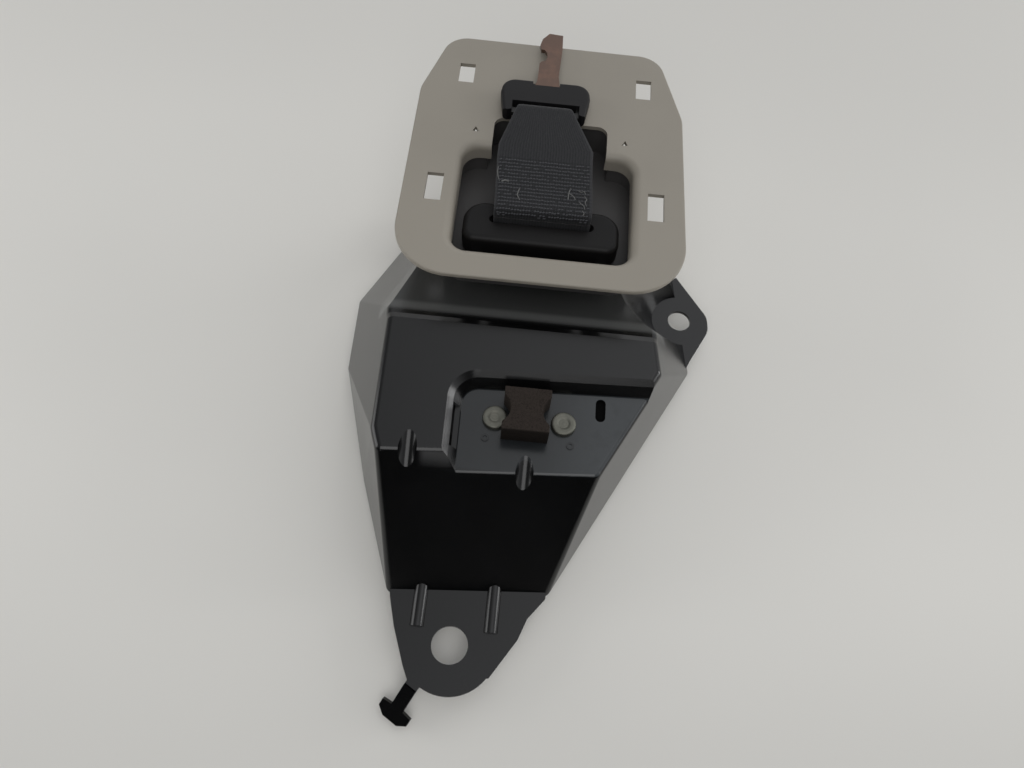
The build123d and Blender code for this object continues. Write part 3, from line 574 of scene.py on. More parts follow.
@dataclass(frozen=True)
class Foam(Finish):
    """Open-cell foam, dark brown and dull, with its near side in shade."""

    name: str = "foam"
    colour: Colour = (0.036, 0.029, 0.025)
    shade_colour: Colour = (0.004, 0.0035, 0.003)
    shade_y: Limits = (0.0843, 0.0850)
    shade_share: float = 0.6
    pore_scale: float = 1900.0
    pore_limits: Limits = (0.1, 0.6)
    pore_share: float = 0.6
    hollow_scale: float = 800.0
    hollow_limits: Limits = (0.05, 0.5)
    hollow_share: float = 0.4
    hollow_tint: float = 0.35
    cloud_scale: float = 120.0
    cloud_share: float = 0.4
    cloud_tint: float = 1.25
    roughness: float = 0.95
    specular: float = 0.1
    relief: float = 0.00022

    def paint(self, graph: Graph) -> None:
        """Give the foam its pores, with painted shade in them.

        Args:
            graph: The material's graph.
        """
        _, y, _ = graph.axes()
        pores = graph.cells(self.pore_scale).step(*self.pore_limits)
        hollows = graph.cells(self.hollow_scale).step(*self.hollow_limits)
        height = pores * self.pore_share + hollows * self.hollow_share
        # Painted shade in the pores and hollows
        colour = graph.mix(height, tint(self.colour, self.hollow_tint), self.colour)
        cloud = graph.noise(self.cloud_scale, 3.0) * self.cloud_share
        colour = graph.mix(cloud, colour, tint(self.colour, self.cloud_tint))
        colour = graph.mix(y.step(*self.shade_y, self.shade_share, 0.0), colour, self.shade_colour)
        graph.surface(base_color=colour, roughness=self.roughness, specular_ior_level=self.specular)
        graph.bump(height, self.relief)


@dataclass(frozen=True)
class Weave(Finish):
    """Belt webbing: warp ribs along the belt, crossed by picks in a shallow twill."""

    name: str = "webbing"
    colour: Colour = (0.0165, 0.0172, 0.0195)
    # Painted shade in the yarns' valleys and painted highlight on their crowns
    valley_tint: float = 0.35
    crown_tint: float = 1.35
    rib: float = 0.00135
    rib_height: float = 0.20
    pick: float = 0.00070
    pick_height: float = 0.28
    pick_lean: float = 0.9
    twill_slant: float = 900.0
    relief: float = 0.00016
    roughness: float = 0.72
    crown_polish: float = 0.12
    specular: float = 0.35
    sheen: float = 0.15
    sheen_roughness: float = 0.4
    lint_colour: Colour = (0.14, 0.14, 0.15)
    lint_scale: float = 2600.0
    lint_limits: Limits = (0.55, 0.75)
    lint_share: float = 0.22
    worn_edge: Limits = (0.0214, 0.0226)
    worn_share: float = 0.5
    row_pitch: float = MM * STITCH_ROW_PITCH
    rows: Band = (0.0022, 0.0026, 0.0337, 0.0341)
    row_depth: float = 0.4

    def paint(self, graph: Graph) -> None:
        """Weave from the webbing's own UVs, which are metres across and along it, dented by its stitches,
        with painted shade in the dents.

        Args:
            graph: The material's graph.
        """
        uv = graph.node("ShaderNodeUVMap", {"uv_map": "UVMap"}, {}).outputs[0]
        across, along, _ = graph.split(uv)
        height, lint = self.twill(graph, across, along)
        turn = (along - self.rows[1]) * (2 * math.pi / self.row_pitch)
        dent = along.within(self.rows) * (turn.sine() * -0.5 + 0.5) * self.row_depth
        worn = across.magnitude().step(*self.worn_edge) * self.worn_share
        self.finish(graph, height * (1.0 - dent), lint.larger(worn))

    def twill(self, graph: Graph, across: Signal, along: Signal) -> tuple[Signal, Signal]:
        """Height of the cloth's yarns.

        Args:
            graph: The material's graph.
            across: Distance across the belt, in metres.
            along: Distance along the belt, in metres.

        Returns:
            The yarns' height, and the lint on them, each from 0 to 1.
        """
        ribs = (across * (2 * math.pi / self.rib)).sine()
        turn = along * (2 * math.pi / self.pick) + ribs * self.pick_lean + across * self.twill_slant
        height = ribs * self.rib_height + turn.sine() * self.pick_height + 0.5
        return height, graph.noise(self.lint_scale, 2.0).step(*self.lint_limits)

    def finish(self, graph: Graph, height: Signal, lint: Signal) -> None:
        """Colour and roughen the cloth.

        Args:
            graph: The material's graph.
            height: The yarns' height.
            lint: The lint on the yarns.
        """
        # Painted shade in the valleys and the stitch rows' dents, painted highlight on the crowns
        colour = graph.mix(height.step(0.1, 0.9), tint(self.colour, self.valley_tint),
                           tint(self.colour, self.crown_tint))
        colour = graph.mix(lint * self.lint_share, colour, self.lint_colour)
        graph.surface(base_color=colour, roughness=self.roughness - height * self.crown_polish,
                      specular_ior_level=self.specular, sheen_weight=self.sheen,
                      sheen_roughness=self.sheen_roughness)
        graph.bump(height, self.relief)


@dataclass(frozen=True)
class PlainWeave(Weave):
    """The same webbing on the solids without UVs, read from the place on the object."""

    name: str = "webbing_hidden"

    def paint(self, graph: Graph) -> None:
        """Weave across X and along the belt's run in Y and Z.

        Args:
            graph: The material's graph.
        """
        x, y, z = graph.axes()
        height, lint = self.twill(graph, x, y + z)
        self.finish(graph, height, lint)


@dataclass(frozen=True)
class Thread(Finish):
    """Sewing thread, lighter than the webbing."""

    colour: Colour
    valley_tint: float = 0.6
    crown_tint: float = 1.5
    twist_scale: float = 5200.0
    relief: float = 0.00005
    roughness: float = 0.6
    specular: float = 0.4

    def paint(self, graph: Graph) -> None:
        """Give the thread its twist.

        Args:
            graph: The material's graph.
        """
        twist = graph.noise(self.twist_scale, 2.0)
        # Painted shade and painted highlight along the thread's twist
        colour = graph.mix(twist, tint(self.colour, self.valley_tint), tint(self.colour, self.crown_tint))
        graph.surface(base_color=colour, roughness=self.roughness, specular_ior_level=self.specular)
        graph.bump(twist, self.relief)


@dataclass(frozen=True)
class FloorPaper(Finish):
    """Pale paper, shaded towards the camera, beyond the unit and far around it."""

    name: str = "floor_paper"
    colour: Colour = (0.86, 0.845, 0.80)
    roughness: float = 0.85
    specular: float = 0.2
    cloud_scale: float = 2.2
    cloud_limits: Limits = (0.3, 0.7)
    cloud_tint: float = 0.96
    near_y: Limits = (-0.10, 0.08)
    near_tint: float = 0.82
    beyond_y: Limits = (0.22, 0.42)
    beyond_tint: float = 0.92
    middle_y: float = 0.13
    far_radius: Limits = (0.70, 1.40)
    far_tint: float = 0.74

    def paint(self, graph: Graph) -> None:
        """Shade the paper by its place on the floor.

        Args:
            graph: The material's graph.
        """
        x, y, _ = graph.axes()
        along = y - self.middle_y
        radius = (x * x + along * along).power(0.5)
        cloud = graph.noise(self.cloud_scale, 3.0, 0.5).step(*self.cloud_limits)
        colour = graph.mix(cloud, self.colour, tint(self.colour, self.cloud_tint))
        colour = graph.mix(y.step(*self.near_y, 1.0, 0.0), colour, tint(self.colour, self.near_tint))
        colour = graph.mix(y.step(*self.beyond_y), colour, tint(self.colour, self.beyond_tint))
        colour = graph.mix(radius.step(*self.far_radius), colour, tint(self.colour, self.far_tint))
        graph.surface(base_color=colour, roughness=self.roughness, specular_ior_level=self.specular)


class Finishes:
    """Every finish of the unit, made once."""

    def __init__(self) -> None:
        """Make the materials."""
        along_blade = (1.0, 0.06, 1.0)
        self.coat = ElectroCoat().build()
        self.rivet = Plated("rivet_zinc", (0.20, 0.20, 0.172), roughness=0.48, grain_scale=500.0,
                            stain=(0.30, 0.29, 0.25), stain_share=0.5,
                            ring_spots=((0.0104, 0.0939), (0.0417, 0.0939))).build()
        self.zinc = Plated("zinc_plate", (0.44, 0.45, 0.46), roughness=0.36).build()
        self.machined = Plated("machined_steel", (0.50, 0.51, 0.52), roughness=0.26,
                               grain=(1.0, 0.1, 1.0)).build()
        self.blanked = Plated("tongue_steel", (0.235, 0.185, 0.165), roughness=0.24, grain=along_blade,
                              grain_scale=1400.0, stain=(0.32, 0.25, 0.21), stain_share=0.55).build()
        # The blade is black and not metal below its place along Y, where its root shows in the head's slot
        self.hook_steel = Plated("hook_steel", (0.170, 0.118, 0.097), roughness=0.24, grain=along_blade,
                                 grain_scale=1400.0, stain=(0.24, 0.150, 0.115), stain_share=0.55,
                                 dark_below_y=0.2585).build()
        self.spring = Plated("spring_steel", (0.16, 0.17, 0.20), roughness=0.30).build()
        self.alloy = Plated("cast_alloy", (0.52, 0.53, 0.54), roughness=0.48, grain_depth=0.00003).build()
        self.trim = Moulded("grey_trim", (0.325, 0.298, 0.252), roughness=0.46, grain_scale=3000.0,
                            grain_depth=0.000012, speckle=0.06).build()
        self.pocket = Moulded("pocket_black", (0.072, 0.069, 0.068), roughness=0.50).build()
        # Painted shade: the retractor frame is coloured black and dull so that the recess's slot over it
        # reads dark
        self.frame_shade = Moulded("frame_painted_shade", (0.0035, 0.0035, 0.0035), roughness=0.85,
                                 gloss=0.05).build()
        self.black = Moulded("black_plastic", (0.014, 0.014, 0.015), roughness=0.50).build()
        self.charcoal = Moulded("tongue_charcoal", (0.0085, 0.0080, 0.0088), roughness=0.46,
                                grain_scale=2200.0, grain_depth=0.00003, gloss=0.30).build()
        self.latch_black = Moulded("latch_black", (0.0065, 0.0060, 0.0060), roughness=0.44,
                                   grain_scale=2200.0, grain_depth=0.00003, gloss=0.24).build()
        self.nylon = Moulded("pale_nylon", (0.62, 0.61, 0.55), roughness=0.42).build()
        self.foam = Foam().build()
        self.weave = Weave().build()
        self.hidden_weave = PlainWeave().build()
        self.thread = Thread("sewing_thread", (0.062, 0.063, 0.069)).build()
        self.tail = Thread("thread_tail", (0.14, 0.14, 0.135)).build()


# Meshes


def dress(names: Sequence[str], material: bpy.types.Material) -> None:
    """Give carried-over nodes their material.

    Args:
        names: The nodes.
        material: Their new material.
    """
    for name in names:
        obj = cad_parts[name]
        if not obj.material_slots:
            obj.data.materials.append(material)
        for material_slot in obj.material_slots:
            material_slot.material = material
        LOG.info("dressed %s", name)


def add_object(name: str, mesh: bpy.types.Mesh, material: bpy.types.Material,
               smooth: bool = True) -> bpy.types.Object:
    """Put a mesh into the scene.

    Args:
        name: The piece's name.
        mesh: Its mesh, in metres.
        material: Its finish.
        smooth: Whether its faces are shaded as one curved surface.

    Returns:
        The new object.
    """
    obj = bpy.data.objects.new(name, mesh)
    bpy.context.scene.collection.objects.link(obj)
    mesh.materials.append(material)
    for polygon in mesh.polygons:
        polygon.use_smooth = smooth
    LOG.info("made %s: %d faces", name, len(mesh.polygons))
    return obj


def ride(piece: bpy.types.Object, body: Body) -> None:
    """Make a new piece ride on a body.

    Args:
        piece: The piece, in place.
        body: The body it moves with.
    """
    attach(piece, body.value)


def tube_faces(rows: int, columns: int) -> list[Face]:
    """Quads between rings of vertices.

    Args:
        rows: Number of rings.
        columns: Vertices in each ring.

    Returns:
        The quads, as vertex numbers.
    """
    faces: list[Face] = []
    for start in range(0, (rows - 1) * columns, columns):
        for column in range(columns):
            after = (column + 1) % columns
            faces.append((start + column, start + after, start + columns + after, start + columns + column))
    return faces


def lay_uvs(mesh: bpy.types.Mesh, places: Sequence[Place]) -> None:
    """Give a mesh its UVs.

    Args:
        mesh: The mesh.
        places: Each vertex's place, in metres.
    """
    layer = mesh.uv_layers.new(name="UVMap")
    for loop in mesh.loops:
        layer.data[loop.index].uv = places[loop.vertex_index]


def arc(centre: Place, radius: float, start: float, end: float, steps: int) -> list[Place]:
    """Points along an arc, with both of its ends.

    Args:
        centre: The arc's centre.
        radius: Its radius.
        start: Its first angle, in degrees.
        end: Its last angle, in degrees.
        steps: Steps between its ends.

    Returns:
        The points.
    """
    angles = [math.radians(start + (end - start) * index / steps) for index in range(steps + 1)]
    return [(centre[0] + radius * math.cos(angle), centre[1] + radius * math.sin(angle)) for angle in angles]


def run(start: Place, end: Place, steps: int) -> list[Place]:
    """Points along a straight run, without its first.

    Args:
        start: Where it starts.
        end: Where it ends.
        steps: Steps between its ends.

    Returns:
        The points.
    """
    shares = [index / steps for index in range(1, steps + 1)]
    return [(start[0] + (end[0] - start[0]) * share, start[1] + (end[1] - start[1]) * share)
            for share in shares]


# Sub-assemblies: sizes and places are in millimetres


@dataclass
class PressedBracket:
    """Pressed bracket with its rivets."""

    finishes: Finishes

    def build(self) -> None:
        """Dress the bracket and what is fixed to its recess."""
        dress(["bracket"], self.finishes.coat)
        dress(["rivets"], self.finishes.rivet)


@dataclass
class RecessFoam:
    """Foam block between the rivets, hollowed at both sides to clear their heads."""

    finishes: Finishes
    centre: Place = (24.4, 94.7)
    size: float = 21.2
    foot_z: float = 50.0
    height: float = 12.2
    hollow_x: tuple[float, float] = (9.2, 39.6)
    hollow_r: float = 8.0
    edge: float = 0.25
    edge_angle: float = 0.6
    unevenness: float = 0.10
    levels: int = 12
    rows: int = 28
    columns: int = 14
    seed: int = 7

    def sides(self, y: float) -> tuple[float, float]:
        """Where the two sides lie at one place along the block.

        Args:
            y: Place along the block.

        Returns:
            The left and right side's place across the block.
        """
        left = self.centre[0] - self.size / 2
        right = self.centre[0] + self.size / 2
        reach = self.hollow_r ** 2 - (y - self.centre[1]) ** 2
        if reach <= 0:
            return left, right
        depth = math.sqrt(reach)
        return max(left, self.hollow_x[0] + depth), min(right, self.hollow_x[1] - depth)

    def add_skin(self, body: bmesh.types.BMesh) -> None:
        """Add the block's six sides.

        Args:
            body: The mesh that is built.
        """
        low_y = self.centre[1] - self.size / 2
        lattice = []
        for level in range(self.levels + 1):
            z = self.foot_z + self.height * level / self.levels
            for row in range(self.rows + 1):
                y = low_y + self.size * row / self.rows
                left, right = self.sides(y)
                for column in range(self.columns + 1):
                    x = left + (right - left) * (column / self.columns)
                    lattice.append(body.verts.new((MM * x, MM * y, MM * z)))

        def add_quad(*corners: tuple[int, int, int]) -> None:
            """Add a face by the level, row and column of its corners."""
            body.faces.new([lattice[(level * (self.rows + 1) + row) * (self.columns + 1) + column]
                            for level, row, column in corners])

        for i in range(self.levels):
            for j in range(self.rows):
                for k in (0, self.columns):
                    add_quad((i, j, k), (i, j + 1, k), (i + 1, j + 1, k), (i + 1, j, k))
            for k in range(self.columns):
                for j in (0, self.rows):
                    add_quad((i, j, k), (i, j, k + 1), (i + 1, j, k + 1), (i + 1, j, k))
        for j in range(self.rows):
            for k in range(self.columns):
                for i in (0, self.levels):
                    add_quad((i, j, k), (i, j + 1, k), (i, j + 1, k + 1), (i, j, k + 1))
        bmesh.ops.delete(body, geom=[vert for vert in body.verts if not vert.link_faces], context="VERTS")
        bmesh.ops.recalc_face_normals(body, faces=body.faces)

    def build(self) -> None:
        """Build the block, slightly uneven above its foot, with softened edges."""
        rng = random.Random(self.seed)
        mesh = bpy.data.meshes.new("foam_block_cut")
        body = bmesh.new()
        self.add_skin(body)
        for vert in body.verts:
            if vert.co.z > MM * (self.foot_z + 1):
                vert.co += vert.normal * -rng.uniform(0.0, self.unevenness) * MM
        sharp = [edge for edge in body.edges if edge.calc_face_angle(0) > self.edge_angle]
        bmesh.ops.bevel(body, geom=sharp, offset=self.edge * MM, segments=1, affect="EDGES")
        body.to_mesh(mesh)
        body.free()
        piece = add_object("foam_block_cut", mesh, self.finishes.foam, smooth=False)
        ride(piece, Body.UNIT)
        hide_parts("foam_block")


@dataclass
class TrimPocket:
    """Grey bezel, black pocket and its screws."""

    finishes: Finishes

    def build(self) -> None:
        """Dress the pocket's pieces."""
        dress(["bezel"], self.finishes.trim)
        dress(["pocket_liner"], self.finishes.pocket)
        dress(["liner_screws"], self.finishes.zinc)


@dataclass
class Tongues:
    """Main latch plate in its pocket, and the small tongue on the belt's end."""

    finishes: Finishes

    def build(self) -> None:
        """Dress both tongues."""
        dress(["small_tongue_head"], self.finishes.charcoal)
        dress(["latch_head"], self.finishes.latch_black)
        dress(["latch_plate"], self.finishes.blanked)
        dress(["small_tongue_blade"], self.finishes.hook_steel)


class ThreadMesh:
    """Round threads that share one mesh."""

    sides: int = 6

    def __init__(self) -> None:
        """Start without threads."""
        self.verts: list[Point] = []
        self.faces: list[Face] = []

    def add(self, points: Sequence[Point], radius: float) -> None:
        """Add one thread.

        Args:
            points: Its middle line, in millimetres.
            radius: Its radius, in millimetres.
        """
        base = len(self.verts)
        for index, point in enumerate(points):
            before = Vector(points[max(0, index - 1)])
            after = Vector(points[min(len(points) - 1, index + 1)])
            aside = (after - before).cross(Vector((0, 0, 1))).normalized()
            up = aside.cross(after - before).normalized()
            for side in range(self.sides):
                angle = 2 * math.pi * side / self.sides
                spot = Vector(point) + radius * (aside * math.cos(angle) + up * math.sin(angle))
                self.verts.append(tuple(MM * part for part in spot))
        ring = tuple(range(self.sides))
        last = base + (len(points) - 1) * self.sides
        for quad in tube_faces(len(points), self.sides):
            self.faces.append(tuple(base + number for number in quad))
        self.faces.append(tuple(base + number for number in ring))
        self.faces.append(tuple(last + number for number in reversed(ring)))

    def build(self, name: str, material: bpy.types.Material) -> None:
        """Make the piece, on the belt's end.

        Args:
            name: The piece's name.
            material: The thread's finish.
        """
        mesh = bpy.data.meshes.new(name)
        mesh.from_pydata(self.verts, [], self.faces)
        ride(add_object(name, mesh, material), Body.BELT_END)


@dataclass
class SewnWebbing:
    """Sewn end of the belt, its rise from the guide and the wound roll.

    The belt's middle line is a list of places along Y and Z.
    """

    finishes: Finishes
    centre_x: float = 23.0
    half_width: float = 23.1
    thickness: float = 1.2
    guide_z: float = 45.736
    riser_y: float = 186.1
    riser_top: float = 77.5
    riser_rows: int = 31
    turn_centre: Place = (189.7, 79.7)
    turn_r: float = 3.6
    loop_centre: Place = (246.5, 84.5)
    loop_r: float = 3.2
    loop_x: float = 19.0
    loop_half: float = 12.6
    seam: Place = (222.0, 84.74)
    tail: Place = (191.8, 82.15)
    taper: Limits = (223.5, 250.5)
    lean: float = 1.3
    lean_start: float = 190.0
    lean_run: float = 26.0
    rise_steps: int = 3
    turn_steps: int = 8
    upper_steps: int = 44
    loop_steps: int = 16
    lower_steps: int = 18
    tail_steps: int = 22
    row_first: float = -5.0
    row_count: int = 16
    row_pitch: float = STITCH_ROW_PITCH
    row_margin: float = 1.5
    margin_spread: float = 0.6
    stitch_pitch: float = 1.36
    stitch_reach: float = 0.42
    stitch_lift: float = 0.08
    stitch_dip: float = 0.34
    stitch_slant: float = 0.10
    stitch_r: float = 0.35
    stray_x: float = 0.12
    stray_y: float = 0.18
    skipped_share: float = 0.08
    knot_x: tuple[float, ...] = (2.2, 4.6, 21.4, 23.9, 41.2, 43.4)
    knot_reach: float = 0.6
    knot_offset: float = 1.2
    seed: int = 11
    tail_lift: float = 0.30
    tail_dip: float = 0.4
    line: list[Place] = field(default_factory=list)
    tails: tuple[tuple[tuple[Place, ...], float], ...] = (
        (((-0.3, 209.7), (-0.3, 206.6), (0.1, 203.9), (1.1, 201.6)), 0.22),
        (((2.1, 201.4), (3.7, 201.9), (5.6, 201.8)), 0.42),
        (((11.1, 198.6), (10.5, 196.5), (10.2, 194.3), (10.9, 192.9), (11.6, 192.0)), 0.26),
        (((35.2, 201.1), (34.6, 199.2), (34.3, 197.1), (34.3, 194.7)), 0.26),
        (((34.7, 198.3), (36.2, 197.0), (37.2, 195.9), (37.7, 195.0)), 0.24),
        (((38.6, 200.5), (40.2, 199.2), (41.6, 199.9), (42.6, 198.4)), 0.22),
        (((42.0, 197.4), (43.1, 195.6), (42.4, 193.8), (43.2, 192.1)), 0.22),
        (((39.6, 194.2), (40.8, 192.6), (41.9, 191.9), (42.6, 190.2)), 0.20),
        (((41.4, 189.4), (42.3, 187.9), (41.8, 186.6)), 0.20),
    )

    def trace_line(self) -> None:
        """Lay out the belt's middle line, from the latch plate round the loop and back to its tail."""
        rise = self.turn_centre[1] - self.riser_top
        line = [(self.riser_y, self.riser_top + rise * index / self.rise_steps)
                for index in range(self.rise_steps)]
        line += arc(self.turn_centre, self.turn_r, 180, 90, self.turn_steps)
        loop_start = (self.loop_centre[0], self.loop_centre[1] + self.loop_r)
        line += run(line[-1], loop_start, self.upper_steps)[:-1]
        line += arc(self.loop_centre, self.loop_r, 90, -90, self.loop_steps)
        line += run(line[-1], self.seam, self.lower_steps) + run(self.seam, self.tail, self.tail_steps)
        self.line = line

    def span(self, y: float) -> tuple[float, float]:
        """The belt's two edges at one place along the unit.

        Args:
            y: Place along the unit.

        Returns:
            The left and right edge.
        """
        share = min(1.0, max(0.0, (y - self.taper[0]) / (self.taper[1] - self.taper[0])))
        middle = self.centre_x - self.lean * min(1.0, max(0.0, (y - self.lean_start) / self.lean_run))
        left = middle - self.half_width
        right = middle + self.half_width
        return (left + (self.loop_x - self.loop_half - left) * share,
                right + (self.loop_x + self.loop_half - right) * share)

    @staticmethod
    def section_points(flat: float = 0.98, steps: int = 24) -> list[Place]:
        """Rounded section of the belt, from -1 to 1 across it and through it.

        Args:
            flat: Half of the section's width without its rounded edges.
            steps: Steps across each face.

        Returns:
            The section's points, in order round it.
        """
        face = []
        for index in range(steps + 1):
            across = -flat + 2 * flat * index / steps
            face.append((across, 1.0 - 0.5 * abs(across) ** 24))
        half = face + [(0.995, 0.45), (1.0, 0.0), (0.995, -0.45)]
        return half + [(-across, -height) for across, height in half]

    def build_strap(self) -> None:
        """Build the sewn strap as one strip of rounded section, with UVs in metres."""
        section = self.section_points()
        verts: list[Point] = []
        uvs: list[Place] = []
        travelled = 0.0
        for index, (y, z) in enumerate(self.line):
            before = self.line[max(0, index - 1)]
            after = self.line[min(len(self.line) - 1, index + 1)]
            heading = Vector((after[0] - before[0], after[1] - before[1])).normalized()
            normal = Vector((-heading.y, heading.x))
            travelled += math.dist(before, (y, z))
            left, right = self.span(y)
            for across, height in section:
                x = left + (right - left) * (across + 1) / 2
                verts.append((MM * x, MM * (y + normal.x * height * self.thickness / 2),
                              MM * (z + normal.y * height * self.thickness / 2)))
                uvs.append((MM * (across * self.half_width), MM * travelled))
        columns = len(section)
        last = (len(self.line) - 1) * columns
        faces = tube_faces(len(self.line), columns)
        faces.append(tuple(range(columns - 1, -1, -1)))
        faces.append(tuple(last + column for column in range(columns)))
        mesh = bpy.data.meshes.new("webbing_sewn_end")
        mesh.from_pydata(verts, [], faces)
        lay_uvs(mesh, uvs)
        mesh.validate()
        piece = add_object("webbing_sewn_end", mesh, self.finishes.weave)
        ride(piece, Body.BELT_END)
        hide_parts("webbing_end")

    def top_z(self, y: float) -> float:
        """Height of the strap's upper face at one place along the unit.

        Args:
            y: Place along the unit.

        Returns:
            The height.
        """
        start = (self.turn_centre[0], self.turn_centre[1] + self.turn_r)
        end = (self.loop_centre[0], self.loop_centre[1] + self.loop_r)
        return start[1] + (end[1] - start[1]) * (y - start[0]) / (end[0] - start[0]) + self.thickness / 2

    def on_strap(self, x: float, distance: float, lift: float) -> Point:
        """Point over the strap's outer face.

        Args:
            x: Place across the unit.
            distance: Distance along the face from the end of the turn, less than 0 on the turn.
            lift: Height over the face.

        Returns:
            The point, in millimetres.
        """
        if distance < 0:
            radius = self.turn_r + self.thickness / 2
            angle = -distance / radius
            return (x, self.turn_centre[0] - (radius + lift) * math.sin(angle),
                    self.turn_centre[1] + (radius + lift) * math.cos(angle))
        y = self.turn_centre[0] + distance
        return x, y, self.top_z(y) + lift

    def stitch_points(self, x: float, distance: float, reach: float) -> list[Point]:
        """Middle line of one stitch: a short thread across the belt that dips into it at both ends.

        Args:
            x: The stitch's middle across the unit.
            distance: Its place along the strap's face.
            reach: Half of its length.

        Returns:
            The line, in millimetres.
        """
        return [self.on_strap(x + reach * share, distance + self.stitch_slant * share,
                              self.stitch_lift - self.stitch_dip * share * share)
                for share in (-1.0, -0.5, 0.0, 0.5, 1.0)]

    def build_stitches(self) -> None:
        """Sew the two layers together with rows of short stitches across the belt."""
        rng = random.Random(self.seed)
        threads = ThreadMesh()
        for row in range(self.row_count):
            distance = self.row_first + row * self.row_pitch
            left, right = self.span(self.on_strap(0.0, distance, 0.0)[1])
            margin = self.row_margin + rng.uniform(0.0, self.margin_spread)
            for index in range(int((right - left - 2 * margin) / self.stitch_pitch) + 1):
                if rng.random() < self.skipped_share:
                    continue
                x = left + margin + index * self.stitch_pitch + rng.uniform(-self.stray_x, self.stray_x)
                place = distance + rng.uniform(-self.stray_y, self.stray_y)
                threads.add(self.stitch_points(x, place, self.stitch_reach), self.stitch_r)
        for x in self.knot_x:
            place = self.row_first - self.knot_offset
            threads.add(self.stitch_points(x, place, self.knot_reach), self.stitch_r)
        threads.build("stitching", self.finishes.thread)

    def build_tails(self) -> None:
        """Leave the loose ends of the sewing thread where the photograph shows them."""
        threads = ThreadMesh()
        for line, radius in self.tails:
            points = [(x, y, self.top_z(y) + self.tail_lift) for x, y in line]
            for end in (0, -1):
                x, y, z = points[end]
                points[end] = (x, y, z - self.tail_dip)
            threads.add(points, radius)
        threads.build("thread_tails", self.finishes.tail)

    def build_riser(self) -> None:
        """Build the stretch from the guide to the sewn end."""
        section = self.section_points()
        verts: list[Point] = []
        uvs: list[Place] = []
        for index in range(self.riser_rows):
            z = self.guide_z + (self.riser_top - self.guide_z) * index / (self.riser_rows - 1)
            for across, height in section:
                verts.append((MM * (self.centre_x + across * self.half_width),
                              MM * (self.riser_y - height * self.thickness / 2), MM * z))
                uvs.append((MM * across * self.half_width, MM * z))
        mesh = bpy.data.meshes.new("webbing_rise")
        mesh.from_pydata(verts, [], tube_faces(self.riser_rows, len(section)))
        lay_uvs(mesh, uvs)
        piece = add_object("webbing_rise", mesh, self.finishes.weave)
        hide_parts("webbing_riser")
        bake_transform(piece)

    def build(self) -> None:
        """Build and dress all the webbing."""
        self.trace_line()
        self.build_strap()
        self.build_stitches()
        self.build_tails()
        self.build_riser()
        dress(["webbing_feed", "webbing_roll"], self.finishes.hidden_weave)


@dataclass
class Retractor:
    """Retractor beneath the recess: frame, spool, ratchets, sensor and rewind spring."""

    finishes: Finishes

    def build(self) -> None:
        """Dress every piece of the mechanism."""
        # Painted shade: the frame is black and dull so that the slot over it reads dark
        dress(["retractor_frame"], self.finishes.frame_shade)
        dress(["tie_bar", "sensor_cover_screws", "spring_cover_screws"], self.finishes.zinc)
        dress(["spool_shaft", "webbing_pin", "ratchet_wheel_left", "ratchet_wheel_right", "lock_bar",
               "sensor_ball"], self.finishes.machined)
        dress(["frame_bush_left", "frame_bush_right", "lock_gear", "sensor_housing", "sensor_lever",
               "spring_arbor"], self.finishes.nylon)
        dress(["mainspring", "lock_bar_spring"], self.finishes.spring)
        dress(["spool"], self.finishes.alloy)
        dress(["webbing_guide", "sensor_cover", "spring_case", "spring_cover"], self.finishes.black)


# Studio, in metres


@dataclass(frozen=True)
class Lamp:
    """Square soft lamp, with its side in metres and its power in watts."""

    name: str
    place: Point
    aim: Point
    size: float
    power: float

    def build(self) -> None:
        """Hang the lamp, turned to what it lights."""
        lamp = bpy.data.lights.new(self.name, "AREA")
        lamp.shape = "SQUARE"
        lamp.size = self.size
        lamp.energy = self.power
        obj = bpy.data.objects.new(self.name, lamp)
        bpy.context.scene.collection.objects.link(obj)
        obj.location = self.place
        obj.rotation_euler = (Vector(self.aim) - Vector(self.place)).to_track_quat("-Z", "Y").to_euler()


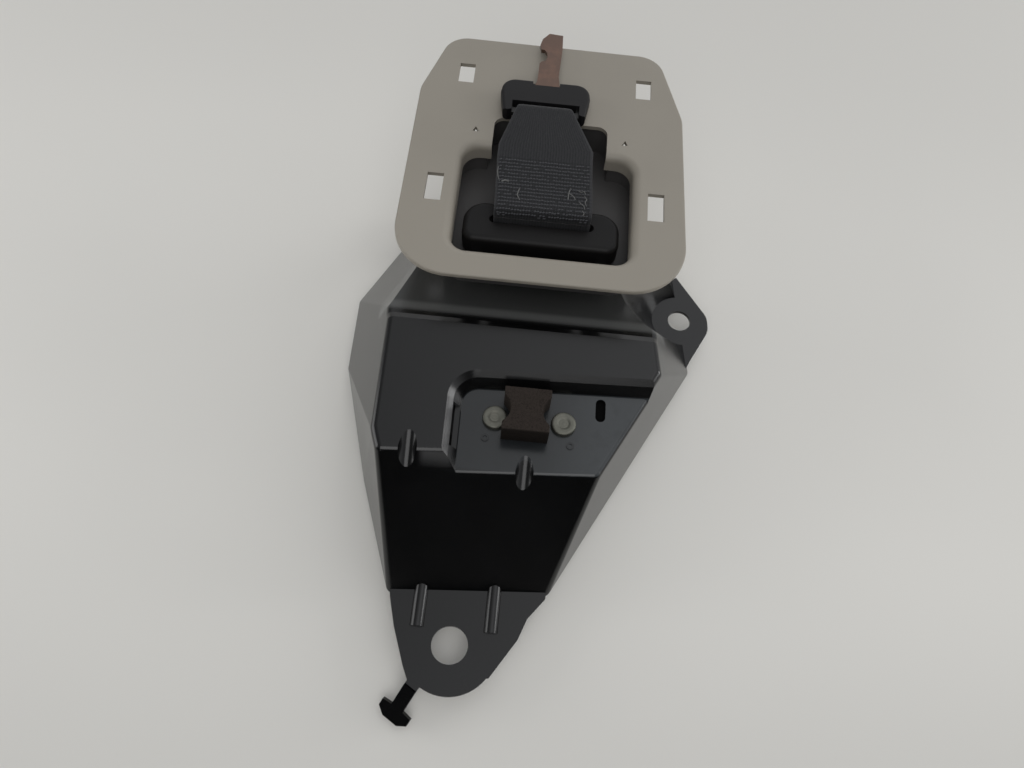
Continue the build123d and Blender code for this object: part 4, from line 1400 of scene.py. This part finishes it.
@dataclass
class Studio:
    """Pale floor, soft light and the camera.

    The room's light grows along Y, is strongest round one heading and grows to the right. The camera sees
    the room beyond the floor as an even grey.
    """

    floor_z: float = -0.0125
    floor_half: float = 3.0
    camera_place: Point = (0.01661, -0.05107, 0.38468)
    tilt: float = 26.0
    roll: float = 5.7
    focal_px: float = 800.0
    image_px: float = 1024.0
    film: float = 36.0
    lamps: tuple[Lamp, ...] = (
        Lamp("near_light", (0.0, -0.66, 1.08), (0.02, 0.10, 0.03), 0.9, 4.6),
        Lamp("far_light", (-0.2, 1.25, 0.60), (0.02, 0.10, 0.03), 1.2, 1.0),
        Lamp("left_light", (-1.2, 0.20, 0.35), (0.02, 0.12, 0.03), 0.8, 3.8),
        Lamp("right_light", (1.2, 0.45, 0.42), (0.02, 0.12, 0.03), 0.5, 2.9),
    )
    room_colour: Colour = (0.97, 0.98, 1.0)
    room_y: Limits = (-0.80, -0.05)
    room_y_light: Limits = (0.02, 1.0)
    room_x: Limits = (-0.35, 0.30)
    room_x_light: Limits = (0.46, 1.25)
    patch_heading: Point = (0.0, 0.31, 0.95)
    patch_spread: Limits = (0.80, 0.94)
    patch_light: Limits = (0.52, 0.84)
    seen_light: float = 0.56

    def build_floor(self) -> None:
        """Lay the pale floor."""
        half, z = self.floor_half, self.floor_z
        mesh = bpy.data.meshes.new("floor")
        mesh.from_pydata([(-half, -half, z), (half, -half, z), (half, half, z), (-half, half, z)], [],
                         [(0, 1, 2, 3)])
        add_object("floor", mesh, FloorPaper().build())

    def build_room(self) -> None:
        """Light the room softly: brighter beyond the bezel, dim behind the camera."""
        world = bpy.data.worlds.new("room")
        bpy.context.scene.world = world
        graph = Graph(world, "ShaderNodeOutputWorld", "ShaderNodeBackground")
        heading = graph.node("ShaderNodeTexCoord", {}, {}).outputs["Generated"]
        x, y, _ = graph.split(heading)
        aim = graph.node("ShaderNodeVectorMath", {"operation": "DOT_PRODUCT"},
                         {0: heading, 1: self.patch_heading})
        patch = Signal(graph, aim.outputs["Value"]).step(*self.patch_spread, *self.patch_light)
        light = y.step(*self.room_y, *self.room_y_light) * patch
        light = light * x.step(*self.room_x, *self.room_x_light, Fade.EVEN)
        seen = graph.node("ShaderNodeLightPath", {}, {}).outputs["Is Camera Ray"]
        shown = graph.node("ShaderNodeMix", {"data_type": "FLOAT"}, {0: seen, 2: light, 3: self.seen_light})
        graph.surface(color=self.room_colour, strength=shown.outputs[0])

    def build_camera(self) -> None:
        """Set the camera at the photograph's viewing angle."""
        camera = bpy.data.cameras.new("camera")
        camera.sensor_width = self.film
        camera.lens = self.film * self.focal_px / self.image_px
        camera.clip_start = 0.01
        obj = bpy.data.objects.new("camera", camera)
        bpy.context.scene.collection.objects.link(obj)
        tilt = math.radians(self.tilt)
        roll = math.radians(self.roll)
        right = Vector((1, 0, 0))
        up = Vector((0, math.cos(tilt), math.sin(tilt)))
        back = Vector((0, -math.sin(tilt), math.cos(tilt)))
        turned_right = right * math.cos(roll) + up * math.sin(roll)
        turned_up = up * math.cos(roll) - right * math.sin(roll)
        basis = Matrix((turned_right, turned_up, back)).transposed().to_4x4()
        obj.matrix_world = Matrix.Translation(self.camera_place) @ basis
        bpy.context.scene.camera = obj

    def build(self) -> None:
        """Build the whole studio."""
        bpy.context.scene.view_settings.view_transform = "Standard"
        self.build_floor()
        self.build_room()
        for lamp in self.lamps:
            lamp.build()
        self.build_camera()


def main() -> None:
    """Build the studio and then the unit's sub-assemblies, in order."""
    logging.basicConfig(level=logging.INFO, format="%(name)s: %(message)s")
    Studio().build()
    finishes = Finishes()
    for part in (PressedBracket(finishes), RecessFoam(finishes), TrimPocket(finishes), Tongues(finishes),
                 SewnWebbing(finishes), Retractor(finishes)):
        part.build()
        LOG.info("finished %s", type(part).__name__)


if __name__ == "__main__":
    main()
